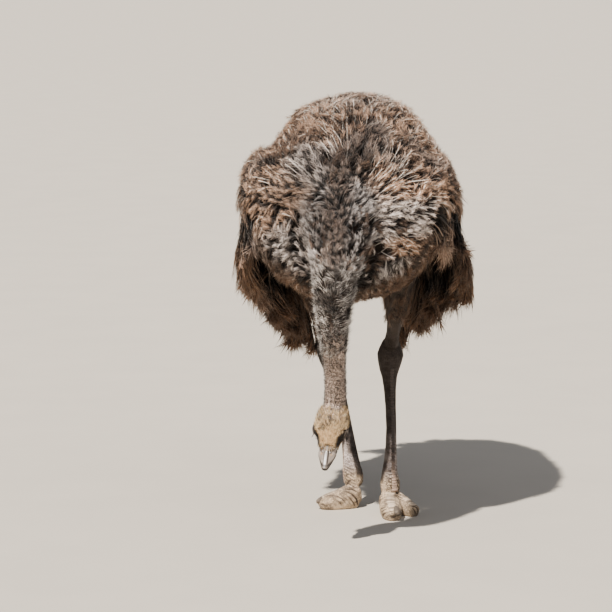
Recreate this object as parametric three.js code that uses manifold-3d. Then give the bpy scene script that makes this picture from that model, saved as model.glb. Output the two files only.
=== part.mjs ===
// A female ostrich at life size, standing on both feet with her neck curved down and her
// head lowered in front of her legs, as she does to feed.
//
// Millimetres, +Z up. She faces -Y and her left side is +X. The floor is Z = 0, and the
// origin is the middle of the model's footprint box. Each named mesh is one body part:
// trunk, three lengths of neck, head, two halves of the bill, eyes, wings, tail, drumsticks,
// shanks, toes and claws. The solids reach out to the tips of the plumage.

import * as THREE from "three";
import { mergeVertices } from "three/addons/utils/BufferGeometryUtils.js";
import Module from "manifold-3d";

const wasm = await Module();
wasm.setup();

// Driving dimensions.
const GAP = 0.3; // free space between neighbouring pieces
const BODY_YAW = 0.11; // her chest is turned a little to her right, in radians
const BODY_AT_X = -8; // the trunk's middle, to her left of the point between her feet
const HIP_WIDTH = 135; // from the midline to each hip
const EYE_RADIUS = 23;
const EYE_OUT = 27; // from the midline of the head to each eye's centre
const MOUTH_GAP = 1.2; // between the upper and the lower half of the bill
const PLUMES_IN_TAIL = 8;
const PLUME_STEP = 14; // neighbouring plumes of a wing differ in reach by this
const TAIL_LAYER = 75; // the tail's upper plumes end this much above the lower ones

const X_AXIS = new THREE.Vector3(1, 0, 0);
const vector = (x, y, z) => new THREE.Vector3(x, y, z);

// Colours of the living bird: hex, roughness. Nothing on her is metal.
const finish = (color, roughness) =>
  new THREE.MeshStandardMaterial({ color, roughness, metalness: 0 });
const PLUMAGE = finish(0x6b5648, 0.95);
const DARK_PLUMAGE = finish(0x35261d, 0.95);
const NECK_DOWN = finish(0x8f8379, 0.9);
const CROWN_BRISTLE = finish(0xa08a66, 0.9);
const LEG_SKIN = finish(0x8d7c6d, 0.7);
const FOOT_SKIN = finish(0xb3a08a, 0.75);
const BILL_HORN = finish(0xa79d96, 0.45);
const CLAW_HORN = finish(0x5d5650, 0.5);
const EYE_GLOSS = finish(0x1d130d, 0.08);

// Solids: closed shapes that can be joined and cut.

function solidOf(geometry) {
  geometry.deleteAttribute("normal");
  geometry.deleteAttribute("uv");
  const merged = mergeVertices(geometry, 1e-3);
  return new wasm.Manifold(
    new wasm.Mesh({
      numProp: 3,
      vertProperties: merged.attributes.position.array,
      triVerts: new Uint32Array(merged.index.array),
    }),
  );
}

function geometryOf(solid) {
  const mesh = solid.getMesh();
  const geometry = new THREE.BufferGeometry();
  geometry.setAttribute("position", new THREE.BufferAttribute(mesh.vertProperties, 3));
  geometry.setIndex(new THREE.BufferAttribute(mesh.triVerts, 1));
  geometry.computeVertexNormals();
  return geometry;
}

// A rounded body through stations of [x, y, z, half width, half depth above, half depth below].
// Width runs along side, and depth runs square to side and to the path. grow swells it all over.
function sweep(stations, { around = 16, along = 14, side = X_AXIS, grow = 0 } = {}) {
  const through = (points) => new THREE.CatmullRomCurve3(points, false, "centripetal");
  const path = through(stations.map(([x, y, z]) => vector(x, y, z)));
  const sizes = stations.map(([, , , wide, above, below = above]) => vector(wide, above, below));
  const sizeAt = new THREE.CatmullRomCurve3(sizes, false, "catmullrom", 0.4);
  const isOver = path.getTangent(0.5).cross(side).z > 0; // then turned half round to lie under
  const width = side.clone().multiplyScalar(isOver ? -1 : 1);
  const grid = new THREE.SphereGeometry(1, around, along);
  const position = grid.getAttribute("position");
  const point = vector(0, 0, 0);
  for (let i = 0; i < position.count; i++) {
    const row = Math.floor(i / (around + 1));
    const turn = ((i % (around + 1)) / around) * 2 * Math.PI;
    const t = THREE.MathUtils.clamp((row - 1) / (along - 2), 0, 1);
    const tangent = path.getTangent(t);
    const across = width.clone().addScaledVector(tangent, -width.dot(tangent)).normalize();
    const under = tangent.clone().cross(across);
    const size = sizeAt.getPoint(t).addScalar(grow);
    path.getPoint(t, point);
    if (row === 0 || row === along) {
      const cap = 0.35 * Math.min(size.x, size.y);
      point.addScaledVector(tangent, row === 0 ? -cap : cap);
    } else {
      const depth = Math.sin(turn) > 0 ? size.z : size.y;
      point.addScaledVector(across, -Math.cos(turn) * size.x);
      point.addScaledVector(under, Math.sin(turn) * depth);
    }
    position.setXYZ(i, point.x, point.y, point.z);
  }
  return solidOf(grid);
}

function ellipsoid(centre, radii, { around = 14, along = 10, frame = null } = {}) {
  const ball = new THREE.SphereGeometry(1, around, along).scale(...radii);
  if (frame) ball.applyMatrix4(frame);
  return solidOf(ball.translate(centre.x, centre.y, centre.z));
}

const joined = (solids) => solids.reduce((whole, solid) => whole.add(solid));
const without = (solid, ...cutters) => cutters.reduce((left, cutter) => left.subtract(cutter), solid);

// The part of a solid on the side of a plane that normal points to, clear of it by half a gap.
function beyond(solid, normal, point) {
  const n = normal.clone().normalize();
  return solid.trimByPlane(n.toArray(), n.dot(point) + GAP / 2);
}

const onFloor = (solid) => solid.trimByPlane([0, 0, 1], 0);

// Trunk: an egg that lies along her heading, deepest over the legs.

function alongBody(y, z) {
  return [BODY_AT_X + y * Math.sin(BODY_YAW), y * Math.cos(BODY_YAW), z];
}

function trunkSolid(grow = 0) {
  const side = vector(Math.cos(BODY_YAW), -Math.sin(BODY_YAW), 0);
  const stations = [
    [...alongBody(-465, 870), 95, 110, 100],
    [...alongBody(-395, 878), 190, 190, 175],
    [...alongBody(-260, 905), 258, 260, 240],
    [...alongBody(-70, 930), 288, 299, 282],
    [...alongBody(130, 945), 294, 303, 268],
    [...alongBody(320, 945), 272, 276, 218],
    [...alongBody(500, 930), 214, 205, 160],
    [...alongBody(625, 905), 112, 105, 95],
  ];
  return sweep(stations, { around: 24, along: 17, side, grow });
}

// Neck: one curve from inside the chest, forward, over and down to the nape.

const NECK = [
  [-20, -270, 975, 128, 128],
  [-36, -390, 955, 112, 110],
  [-47, -485, 905, 92, 88],
  [-56, -545, 830, 71, 70],
  [-63, -565, 745, 57, 57],
  [-66, -555, 660, 46, 46],
  [-64, -524, 585, 37, 38],
  [-61, -488, 520, 32, 34],
  [-58, -454, 455, 31, 33],
  [-58, -433, 410, 32, 33],
  [-60, -426, 380, 31, 30],
  [-63, -430, 352, 26, 24],
];

const neckSolid = (grow = 0) => sweep(NECK, { around: 12, along: 23, grow });

// Head: its frame stands between the eyes. Locally +X is her left, +Y her crown, +Z the bill's way.

const HEAD_AT = vector(-70, -456, 334);
const HEAD_PITCH = 1.08; // how far the bill points below level
const HEAD_LEAN = 0.2; // the bill tip is to her right
const HEAD_ROLL = 0.19; // her left cheek is turned to the front

function headFrame() {
  const bill = vector(-Math.sin(HEAD_LEAN), -Math.cos(HEAD_PITCH), -Math.sin(HEAD_PITCH)).normalize();
  const left = vector(1, 0, 0).addScaledVector(bill, -bill.x).normalize();
  left.applyAxisAngle(bill, HEAD_ROLL);
  const crown = bill.clone().cross(left);
  return new THREE.Matrix4().makeBasis(left, crown, bill).setPosition(HEAD_AT);
}

const HEAD = headFrame();
const inHead = (x, y, z) => vector(x, y, z).applyMatrix4(HEAD);
const headAxis = (x, y, z) => vector(x, y, z).transformDirection(HEAD);
const headStations = (rows) =>
  rows.map(([forward, lift, ...sizes]) => [...inHead(0, lift, forward).toArray(), ...sizes]);

// [forward, lift, half width, half depth above, half depth below] down the skull and the bill.
const SKULL = [
  [-76, 1, 22, 21, 23],
  [-60, 5, 36, 34, 34],
  [-31, 7, 45, 40, 40],
  [4, 3, 46, 35, 38],
  [26, -3, 37, 28, 31],
  [44, -8, 29.5, 18.5, 22.5],
  [60, -12, 28, 15, 18],
];
const BILL = [
  [38, -8, 27, 17, 21],
  [54, -12, 29, 16, 18],
  [72, -15, 26, 13.5, 14],
  [89, -17, 20, 11, 11],
  [103, -19, 13, 8.5, 8],
  [113, -21, 7, 6, 5],
];
const BILL_ROOT = 48; // how far in front of the eyes the horn starts
const MOUTH_LIFT = -17; // the mouth's level in the head
const GAPE_BACK = 16; // the mouth reaches back nearly to under the eyes

function eyeSolid(way, grow = 0) {
  return ellipsoid(inHead(way * EYE_OUT, 5, 3), Array(3).fill(EYE_RADIUS + grow), { around: 10, along: 8 });
}

function mouthSlot() {
  const slot = new THREE.BoxGeometry(90, MOUTH_GAP, 160);
  slot.applyMatrix4(new THREE.Matrix4().makeTranslation(0, MOUTH_LIFT, GAPE_BACK + 80));
  return solidOf(slot.applyMatrix4(HEAD));
}

function nostril(way) {
  const slant = new THREE.Matrix4().makeRotationY(way * -0.16);
  const frame = new THREE.Matrix4().extractRotation(HEAD).multiply(slant);
  return ellipsoid(inHead(way * 15, -3, 64), [3.2, 6, 9], { around: 8, along: 6, frame });
}

function skullSolid() {
  const side = headAxis(1, 0, 0);
  const skull = sweep(headStations(SKULL), { around: 14, along: 13, side });
  const spin = new THREE.Matrix4().extractRotation(HEAD);
  const brows = [-1, 1].map((way) =>
    ellipsoid(inHead(way * 33, 18, 5), [11, 9, 25], { around: 8, along: 5, frame: spin }),
  );
  const ears = [-1, 1].map((way) =>
    ellipsoid(inHead(way * 42, -4, -34), [7, 6, 5], { around: 6, along: 5, frame: spin }),
  );
  return without(joined([skull, ...brows]), ...ears);
}

const billSolid = () => sweep(headStations(BILL), { around: 12, along: 11, side: headAxis(1, 0, 0) });

// Legs. A leg is a drumstick from inside the flank to the ankle, and a shank down to the toes.

const LEGS = {
  left: {
    drumstick: [
      [HIP_WIDTH, -60, 890, 70, 95],
      [HIP_WIDTH - 2, -62, 800, 66, 98],
      [130, -30, 700, 48, 80],
      [125, 30, 610, 29, 50],
      [121, 78, 548, 20, 31],
      [114, 112, 492, 23, 30],
      [113, 118, 458, 26, 28],
    ],
    shank: [
      [117, 108, 516, 18, 22],
      [114, 116, 494, 31, 34],
      [113, 120, 466, 40, 42],
      [110, 114, 432, 33, 37],
      [110, 106, 400, 23, 28],
      [112, 94, 345, 17, 23],
      [115, 72, 250, 15.5, 21],
      [113, 55, 172, 18, 23],
      [110, 44, 120, 24, 28],
      [111, 38, 86, 30, 31],
      [112, 34, 62, 27, 26],
    ],
    shankSide: X_AXIS,
    toeSide: vector(0.995, 0.09, 0),
    toe: [
      [109, 46, 50, 25, 20, 34],
      [109, 22, 44, 32, 27, 58],
      [110, -12, 31, 33, 24, 46],
      [112, -46, 26, 33, 22, 40],
      [116, -74, 22, 29, 19, 34],
      [123, -94, 16, 18, 12, 24],
    ],
    outerSide: vector(0.55, 0.83, 0),
    outer: [
      [122, 40, 52, 20, 19],
      [145, 20, 36, 24, 21, 48],
      [167, -5, 25, 24, 19, 37],
      [186, -24, 18, 18, 14, 27],
    ],
    claw: [
      [123, -70, 36, 11, 8],
      [127, -90, 28, 13, 9],
      [132, -108, 16, 11, 8],
      [135, -120, 7, 6, 6],
    ],
  },
  right: {
    drumstick: [
      [-HIP_WIDTH, 0, 890, 70, 95],
      [-HIP_WIDTH + 2, 2, 800, 66, 98],
      [-118, 40, 700, 48, 80],
      [-96, 105, 610, 29, 50],
      [-82, 152, 548, 20, 31],
      [-72, 190, 492, 23, 30],
      [-69, 196, 458, 26, 28],
    ],
    shank: [
      [-74, 186, 516, 18, 22],
      [-71, 196, 494, 31, 34],
      [-68, 202, 466, 40, 42],
      [-62, 200, 432, 33, 37],
      [-54, 198, 400, 23, 28],
      [-42, 194, 345, 18, 23],
      [-22, 174, 250, 17, 22],
      [-8, 156, 170, 20, 25],
      [-1, 143, 120, 25, 30],
      [4, 136, 88, 29, 33],
      [3, 130, 66, 25, 26],
    ],
    shankSide: vector(0.75, -0.66, 0),
    toeSide: vector(0.36, -0.93, 0),
    toe: [
      [15, 127, 52, 24, 20, 34],
      [-6, 115, 45, 30, 27, 54],
      [-36, 103, 31, 31, 28, 46],
      [-65, 96, 25, 29, 25, 40],
      [-86, 92, 20, 26, 20, 32],
      [-99, 89, 14, 17, 12, 21],
    ],
    outerSide: vector(0.02, -1, 0),
    outer: [
      [-3, 142, 50, 19, 19],
      [-22, 150, 34, 21, 19, 46],
      [-42, 160, 24, 20, 16, 35],
      [-57, 168, 17, 15, 12, 25],
    ],
    claw: [
      [-82, 93, 37, 10, 7],
      [-96, 89, 29, 12, 8],
      [-110, 85, 17, 10, 7],
      [-119, 82, 7, 5.5, 5.5],
    ],
  },
};

const drumstickSolid = (leg, grow = 0) => sweep(leg.drumstick, { around: 12, along: 12, grow });
const shankSolid = (leg, grow = 0) =>
  sweep(leg.shank, { around: 12, along: 17, side: leg.shankSide, grow });
const toeSolid = (leg, grow = 0) => sweep(leg.toe, { around: 12, along: 11, side: leg.toeSide, grow });
const outerToeSolid = (leg, grow = 0) =>
  sweep(leg.outer, { around: 10, along: 8, side: leg.outerSide, grow });
const clawSolid = (leg) => sweep(leg.claw, { around: 8, along: 7, side: leg.toeSide });

// Wings and tail: a body of coverts with long loose plumes that hang from it.

const WINGS = {
  left: {
    arm: [
      [188, -330, 965, 30, 60, 60],
      [222, -240, 960, 52, 110, 120],
      [252, -80, 940, 58, 150, 165],
      [262, 110, 915, 60, 160, 175],
      [246, 300, 895, 58, 140, 160],
      [206, 450, 880, 40, 90, 110],
    ],
    outer: { from: vector(330, 0, 656), to: vector(214, 430, 526), rows: 7, wide: 56, thick: 26 },
    inner: { from: vector(250, 190, 600), to: vector(140, 440, 464), rows: 3, wide: 60, thick: 38 },
  },
  right: {
    arm: [
      [-222, -300, 985, 34, 60, 60],
      [-262, -200, 975, 54, 120, 120],
      [-278, -40, 945, 60, 165, 165],
      [-266, 130, 915, 62, 165, 175],
      [-228, 300, 895, 58, 140, 160],
      [-172, 430, 880, 40, 90, 110],
    ],
    outer: { from: vector(-314, 0, 694), to: vector(-166, 420, 474), rows: 7, wide: 56, thick: 26 },
    inner: { from: vector(-232, 190, 580), to: vector(-104, 430, 452), rows: 3, wide: 60, thick: 40 },
  },
};

// A vane that leaves its root, droops and ends in a soft point.
function plume(root, tip, outward, wide, thick) {
  const bend = root.clone().lerp(tip, 0.5).addScaledVector(outward, root.distanceTo(tip) * 0.1);
  const path = new THREE.QuadraticBezierCurve3(root, bend, tip);
  const shape = [0.6, 0.95, 1, 0.75, 0.35]; // share of the full width down the vane
  const stations = shape.map((share, i) => {
    const point = path.getPoint(i / (shape.length - 1));
    return [...point.toArray(), wide * share, thick * (0.4 + 0.6 * share)];
  });
  const side = tip.clone().sub(root).cross(outward).normalize();
  return sweep(stations, { around: 6, along: 5, side });
}

// Plumes side by side. Their roots run along the rear of a wing, inset towards the trunk.
function plumeRow(spine, way, start, inset, { from, to, rows, wide, thick }) {
  const outward = vector(way, 0.35, 0).normalize();
  return Array.from({ length: rows }, (_, i) => {
    const share = i / (rows - 1);
    const root = spine.getPoint(start + (0.9 - start) * share).add(vector(-way * inset, 0, -40));
    const tip = from.clone().lerp(to, share);
    tip.z += PLUME_STEP * (i % 2); // every second one is shorter
    return plume(root, tip, outward, wide, thick);
  });
}

function wingSolid({ arm, outer, inner }) {
  const way = Math.sign(arm[0][0]);
  const coverts = sweep(arm, { around: 14, along: 10 });
  const spine = new THREE.CatmullRomCurve3(arm.map(([x, y, z]) => vector(x, y, z)));
  const plumes = [...plumeRow(spine, way, 0.34, -14, outer), ...plumeRow(spine, way, 0.5, 40, inner)];
  return joined([coverts, ...plumes]);
}

function tailSolid() {
  const plumes = [];
  for (let i = 0; i < PLUMES_IN_TAIL; i++) {
    const fan = (i / (PLUMES_IN_TAIL - 1)) * 2 - 1; // -1 at her right, 1 at her left
    const lift = TAIL_LAYER * (i % 2); // every second plume lies over its neighbours
    const root = vector(50 + 90 * fan, 520, 905 - 40 * fan * fan + lift / 2);
    const tip = vector(72 + 200 * fan, 795 - 110 * fan * fan, 650 - 50 * fan * fan + lift);
    plumes.push(plume(root, tip, vector(0.3 * fan, 1, 0.9).normalize(), 56, 34));
  }
  const rump = sweep(
    [
      [...alongBody(500, 900), 150, 105],
      [...alongBody(610, 880), 150, 100],
      [...alongBody(690, 830), 110, 70],
    ],
    { around: 14, along: 7 },
  );
  return joined([rump, ...plumes]);
}

// Assembly: each piece is cut by the ones it grows from, so that all meet and none overlap.

const bird = new THREE.Group();

function addPiece(name, solid, material) {
  const mesh = new THREE.Mesh(geometryOf(solid), material);
  mesh.name = name;
  bird.add(mesh);
}

const trunkGrown = trunkSolid(GAP);
addPiece("trunk", trunkSolid(), PLUMAGE);

// The neck is parted where the breast plumage ends and again halfway down the bare part.
const NAPE = inHead(0, -4, -70);
const napeWay = headAxis(0, 0.25, -0.97);
const neck = without(beyond(neckSolid(), napeWay, NAPE), trunkGrown);
const breastCut = { point: vector(-60, -555, 775), way: vector(0, 0.25, 1) };
const throatCut = { point: vector(-63, -525, 565), way: vector(0, -0.38, 1) };
const below = (way) => way.clone().negate();
addPiece("neck_lower", beyond(neck, breastCut.way, breastCut.point), PLUMAGE);
addPiece(
  "neck_middle",
  beyond(beyond(neck, below(breastCut.way), breastCut.point), throatCut.way, throatCut.point),
  NECK_DOWN,
);
addPiece("neck_upper", beyond(neck, below(throatCut.way), throatCut.point), NECK_DOWN);

// Head, bill and eyes.
const billRoot = inHead(0, 0, BILL_ROOT);
const eyeHoles = [-1, 1].map((way) => eyeSolid(way, GAP));
const napeEnd = beyond(neckSolid(), below(napeWay), NAPE);
const head = beyond(joined([skullSolid(), napeEnd]), headAxis(0, 0, -1), billRoot);
addPiece("head", without(beyond(head, below(napeWay), NAPE), mouthSlot(), ...eyeHoles), CROWN_BRISTLE);
const bill = without(beyond(billSolid(), headAxis(0, 0, 1), billRoot), nostril(-1), nostril(1));
const mouth = inHead(0, MOUTH_LIFT, 0);
const openMouth = (way) => way.clone().multiplyScalar(MOUTH_GAP / 2 - GAP / 2).add(mouth);
addPiece("bill_upper", beyond(bill, headAxis(0, 1, 0), openMouth(headAxis(0, 1, 0))), BILL_HORN);
addPiece("bill_lower", beyond(bill, headAxis(0, -1, 0), openMouth(headAxis(0, -1, 0))), BILL_HORN);
addPiece("eye_left", eyeSolid(1), EYE_GLOSS);
addPiece("eye_right", eyeSolid(-1), EYE_GLOSS);

// Legs, feet and claws.
for (const [name, leg] of Object.entries(LEGS)) {
  const shankGrown = shankSolid(leg, GAP);
  const toeGrown = toeSolid(leg, GAP);
  addPiece(`drumstick_${name}`, without(drumstickSolid(leg), trunkGrown, shankGrown), LEG_SKIN);
  addPiece(`shank_${name}`, shankSolid(leg), LEG_SKIN);
  addPiece(`toe_main_${name}`, onFloor(without(toeSolid(leg), shankGrown)), FOOT_SKIN);
  addPiece(`toe_outer_${name}`, onFloor(without(outerToeSolid(leg), shankGrown, toeGrown)), FOOT_SKIN);
  addPiece(`claw_${name}`, onFloor(without(clawSolid(leg), toeGrown)), CLAW_HORN);
}

// Wings and tail.
const drumsticksGrown = Object.values(LEGS).map((leg) => drumstickSolid(leg, GAP));
const wings = Object.entries(WINGS).map(([name, wing]) => [name, wingSolid(wing)]);
for (const [name, wing] of wings) {
  addPiece(`wing_${name}`, without(wing, trunkGrown, ...drumsticksGrown), DARK_PLUMAGE);
}
addPiece("tail", without(tailSolid(), trunkGrown, ...wings.map(([, wing]) => wing)), DARK_PLUMAGE);

// The footprint box's middle is the origin.
const box = new THREE.Box3().setFromObject(bird);
const middle = box.getCenter(vector(0, 0, 0));
bird.position.set(-middle.x, -middle.y, 0);

export default bird;
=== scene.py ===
"""A life-size female ostrich that feeds with her neck lowered: skin, plumage, bill, eyes, scales and claws.

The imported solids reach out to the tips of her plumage. One skin lies inside them by the depth of
the coat, and feathers, down and bristles are laid over it along the outside of the solids.
Everything is in metres: +Z is up, she faces -Y, and her left side is +X.
"""

import logging
import math
from collections.abc import Callable
from dataclasses import dataclass, field, replace
from enum import Enum

import bmesh
import bpy
import numpy as np
from bmesh.types import BMesh
from bpy.types import Material, Mesh, Node, NodeSocket, NodeTree, Object
from mathutils import Matrix, Vector
from mathutils.bvhtree import BVHTree
from mathutils.kdtree import KDTree
from numpy.random import Generator, default_rng


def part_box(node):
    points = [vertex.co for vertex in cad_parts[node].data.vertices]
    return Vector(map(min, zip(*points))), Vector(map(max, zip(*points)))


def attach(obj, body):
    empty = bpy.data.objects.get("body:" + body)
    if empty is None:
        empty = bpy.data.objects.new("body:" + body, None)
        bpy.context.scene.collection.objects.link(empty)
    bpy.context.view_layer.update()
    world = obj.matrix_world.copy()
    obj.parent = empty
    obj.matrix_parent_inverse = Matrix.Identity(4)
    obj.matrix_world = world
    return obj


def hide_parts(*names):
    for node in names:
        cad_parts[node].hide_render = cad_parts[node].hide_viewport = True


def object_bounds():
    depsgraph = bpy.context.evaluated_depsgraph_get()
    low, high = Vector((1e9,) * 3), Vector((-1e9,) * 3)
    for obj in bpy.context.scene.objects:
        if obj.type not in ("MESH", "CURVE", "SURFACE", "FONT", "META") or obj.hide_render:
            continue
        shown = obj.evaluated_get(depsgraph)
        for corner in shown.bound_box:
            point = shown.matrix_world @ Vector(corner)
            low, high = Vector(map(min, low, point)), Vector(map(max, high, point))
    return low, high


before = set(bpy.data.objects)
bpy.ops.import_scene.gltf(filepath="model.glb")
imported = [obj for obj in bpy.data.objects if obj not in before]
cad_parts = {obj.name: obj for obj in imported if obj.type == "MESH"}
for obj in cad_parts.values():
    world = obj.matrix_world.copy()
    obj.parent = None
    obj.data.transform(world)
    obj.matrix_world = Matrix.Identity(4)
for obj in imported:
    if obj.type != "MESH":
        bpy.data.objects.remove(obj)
CAD_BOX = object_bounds()
LOG = logging.getLogger("ostrich")

BODY = "root"
BAKE_MAP = "OFBake"
BAKE_PATCH = 0.003  # the share of the bake map that one tuft takes
BAKE_MARGIN = 0.01  # the share of the map that stays free at each edge
SIDES = {"left": 1, "right": -1}
UP = Vector((0.0, 0.0, 1.0))
Array = np.ndarray
Colour = tuple[float, float, float]
Pair = tuple[float, float]
Way = tuple[float, float, float]
Roots = tuple[Array, Array]  # places and the normals there
Shape = tuple[Array, list[tuple[int, ...]]]  # points and faces


# Meshes and pieces


def ramp(low: float, high: float, value: Array) -> Array:
    """A smooth step from 0 at low to 1 at high."""
    share = np.clip((np.asarray(value, float) - low) / (high - low), 0.0, 1.0)
    return share * share * (3.0 - 2.0 * share)


def unit(rows: Array) -> Array:
    """Vectors scaled to a length of 1."""
    return rows / np.linalg.norm(rows, axis=-1, keepdims=True)


def blend(low: float, high: float, value: float) -> float:
    """The same smooth step for one number."""
    share = min(1.0, max(0.0, (value - low) / (high - low)))
    return share * share * (3.0 - 2.0 * share)


def points_of(mesh: Mesh) -> Array:
    """A mesh's points, one row each."""
    flat = np.empty(len(mesh.vertices) * 3, np.float32)
    mesh.vertices.foreach_get("co", flat)
    return flat.reshape(-1, 3).astype(float)


def normals_of(mesh: Mesh) -> Array:
    """A mesh's point normals, one row each."""
    flat = np.empty(len(mesh.vertices) * 3, np.float32)
    mesh.vertex_normals.foreach_get("vector", flat)
    return flat.reshape(-1, 3).astype(float)


def move_points(mesh: Mesh, points: Array) -> None:
    """Gives a mesh new places for its points."""
    mesh.vertices.foreach_set("co", points.astype(np.float32).ravel())
    mesh.update()


def paint(mesh: Mesh, name: str, values: Array) -> None:
    """Stores one number or one vector for each point, for the materials to read.

    Args:
        mesh: the mesh to mark.
        name: the attribute's name.
        values: one number a point, or one row of three.
    """
    is_vector = values.ndim == 2
    attribute = mesh.attributes.new(name, "FLOAT_VECTOR" if is_vector else "FLOAT", "POINT")
    attribute.data.foreach_set("vector" if is_vector else "value", values.astype(np.float32).ravel())


def merged_copy(*nodes: str) -> BMesh:
    """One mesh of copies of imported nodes, with the loose triangles of each sewn together."""
    bm = bmesh.new()
    for node in nodes:
        bm.from_mesh(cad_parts[node].data)
    bmesh.ops.remove_doubles(bm, verts=bm.verts, dist=1e-5)
    return bm


def add_shell(bm: BMesh, shell: BMesh) -> None:
    """Adds a bmesh to another one, and frees it."""
    mesh = bpy.data.meshes.new("shell")
    shell.to_mesh(mesh)
    shell.free()
    bm.from_mesh(mesh)
    bpy.data.meshes.remove(mesh)


def node_tree(node: str) -> BVHTree:
    """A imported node's outside, for finding its nearest place."""
    solid = merged_copy(node)
    tree = BVHTree.FromBMesh(solid)
    solid.free()
    return tree


def new_object(name: str, data: object) -> Object:
    """Puts an object into the scene that shows some data, such as a mesh or a light."""
    made = bpy.data.objects.new(name, data)
    bpy.context.scene.collection.objects.link(made)
    return made


def link_piece(name: str, bm: BMesh) -> Object:
    """Makes an object of a bmesh, which it frees."""
    mesh = bpy.data.meshes.new(name)
    bm.to_mesh(mesh)
    bm.free()
    return new_object(name, mesh)


def settle(piece: Object) -> None:
    """Applies every modifier of a piece to its mesh."""
    graph = bpy.context.evaluated_depsgraph_get()
    mesh = bpy.data.meshes.new_from_object(piece.evaluated_get(graph))
    piece.modifiers.clear()
    old = piece.data
    piece.data = mesh
    bpy.data.meshes.remove(old)


def remesh(piece: Object, voxel: float, rounds: int) -> None:
    """Makes one closed surface of a piece's overlapping shells, and relaxes it.

    Args:
        piece: the object to change.
        voxel: the size of a cell of the new surface.
        rounds: how many times its points are relaxed.
    """
    cells = piece.modifiers.new("cells", "REMESH")
    cells.mode = "VOXEL"
    cells.voxel_size = voxel
    ease = piece.modifiers.new("ease", "SMOOTH")
    ease.factor = 0.5
    ease.iterations = rounds
    settle(piece)


def finish_piece(piece: Object, material: Material) -> Object:
    """Dresses a piece, shades it smooth and lets it ride on her body.

    Args:
        piece: the finished object.
        material: what it is made of.

    Returns:
        The piece.
    """
    mesh = piece.data
    mesh.materials.clear()
    mesh.materials.append(material)
    mesh.polygons.foreach_set("use_smooth", np.ones(len(mesh.polygons), bool))
    mesh.update()
    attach(piece, BODY)
    corners = np.empty(len(mesh.polygons), np.int32)
    mesh.polygons.foreach_get("loop_total", corners)
    LOG.info("%s: %d triangles", piece.name, (corners - 2).sum())
    return piece


def loft(bm: BMesh, rings: list[tuple[Matrix, float, float]], sides: int, closed: bool = False) -> None:
    """Bridges a row of ellipses into a tube.

    Args:
        bm: the mesh that the tube is added to.
        rings: for each ellipse its place, whose Z is the tube's way, and its two radii.
        sides: the corners of each ellipse.
        closed: whether the last ellipse is joined to the first, instead of both being capped.
    """
    loops = []
    for place, wide, deep in rings:
        ellipse = place @ Matrix.Diagonal((wide, deep, 1.0, 1.0))
        made = bmesh.ops.create_circle(bm, segments=sides, radius=1.0, matrix=ellipse)
        loops.append(list({edge for vert in made["verts"] for edge in vert.link_edges}))
    pairs = list(zip(loops, loops[1:]))
    if closed:
        pairs.append((loops[-1], loops[0]))
    for first, second in pairs:
        bmesh.ops.bridge_loops(bm, edges=first + second)
    if not closed:
        bmesh.ops.holes_fill(bm, edges=loops[0] + loops[-1], sides=0)
    bmesh.ops.remove_doubles(bm, verts=bm.verts, dist=1e-7)
    bmesh.ops.recalc_face_normals(bm, faces=bm.faces)


def along_points(points: list[Vector], across: Vector) -> list[Matrix]:
    """A place on each point of a line, with its Z along the line and its X near across."""
    places = []
    for i, point in enumerate(points):
        way = (points[min(i + 1, len(points) - 1)] - points[max(i - 1, 0)]).normalized()
        side = (across - way * across.dot(way)).normalized()
        turn = Matrix((side, way.cross(side), way)).transposed().to_4x4()
        places.append(Matrix.Translation(point) @ turn)
    return places


# Finishes


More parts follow.
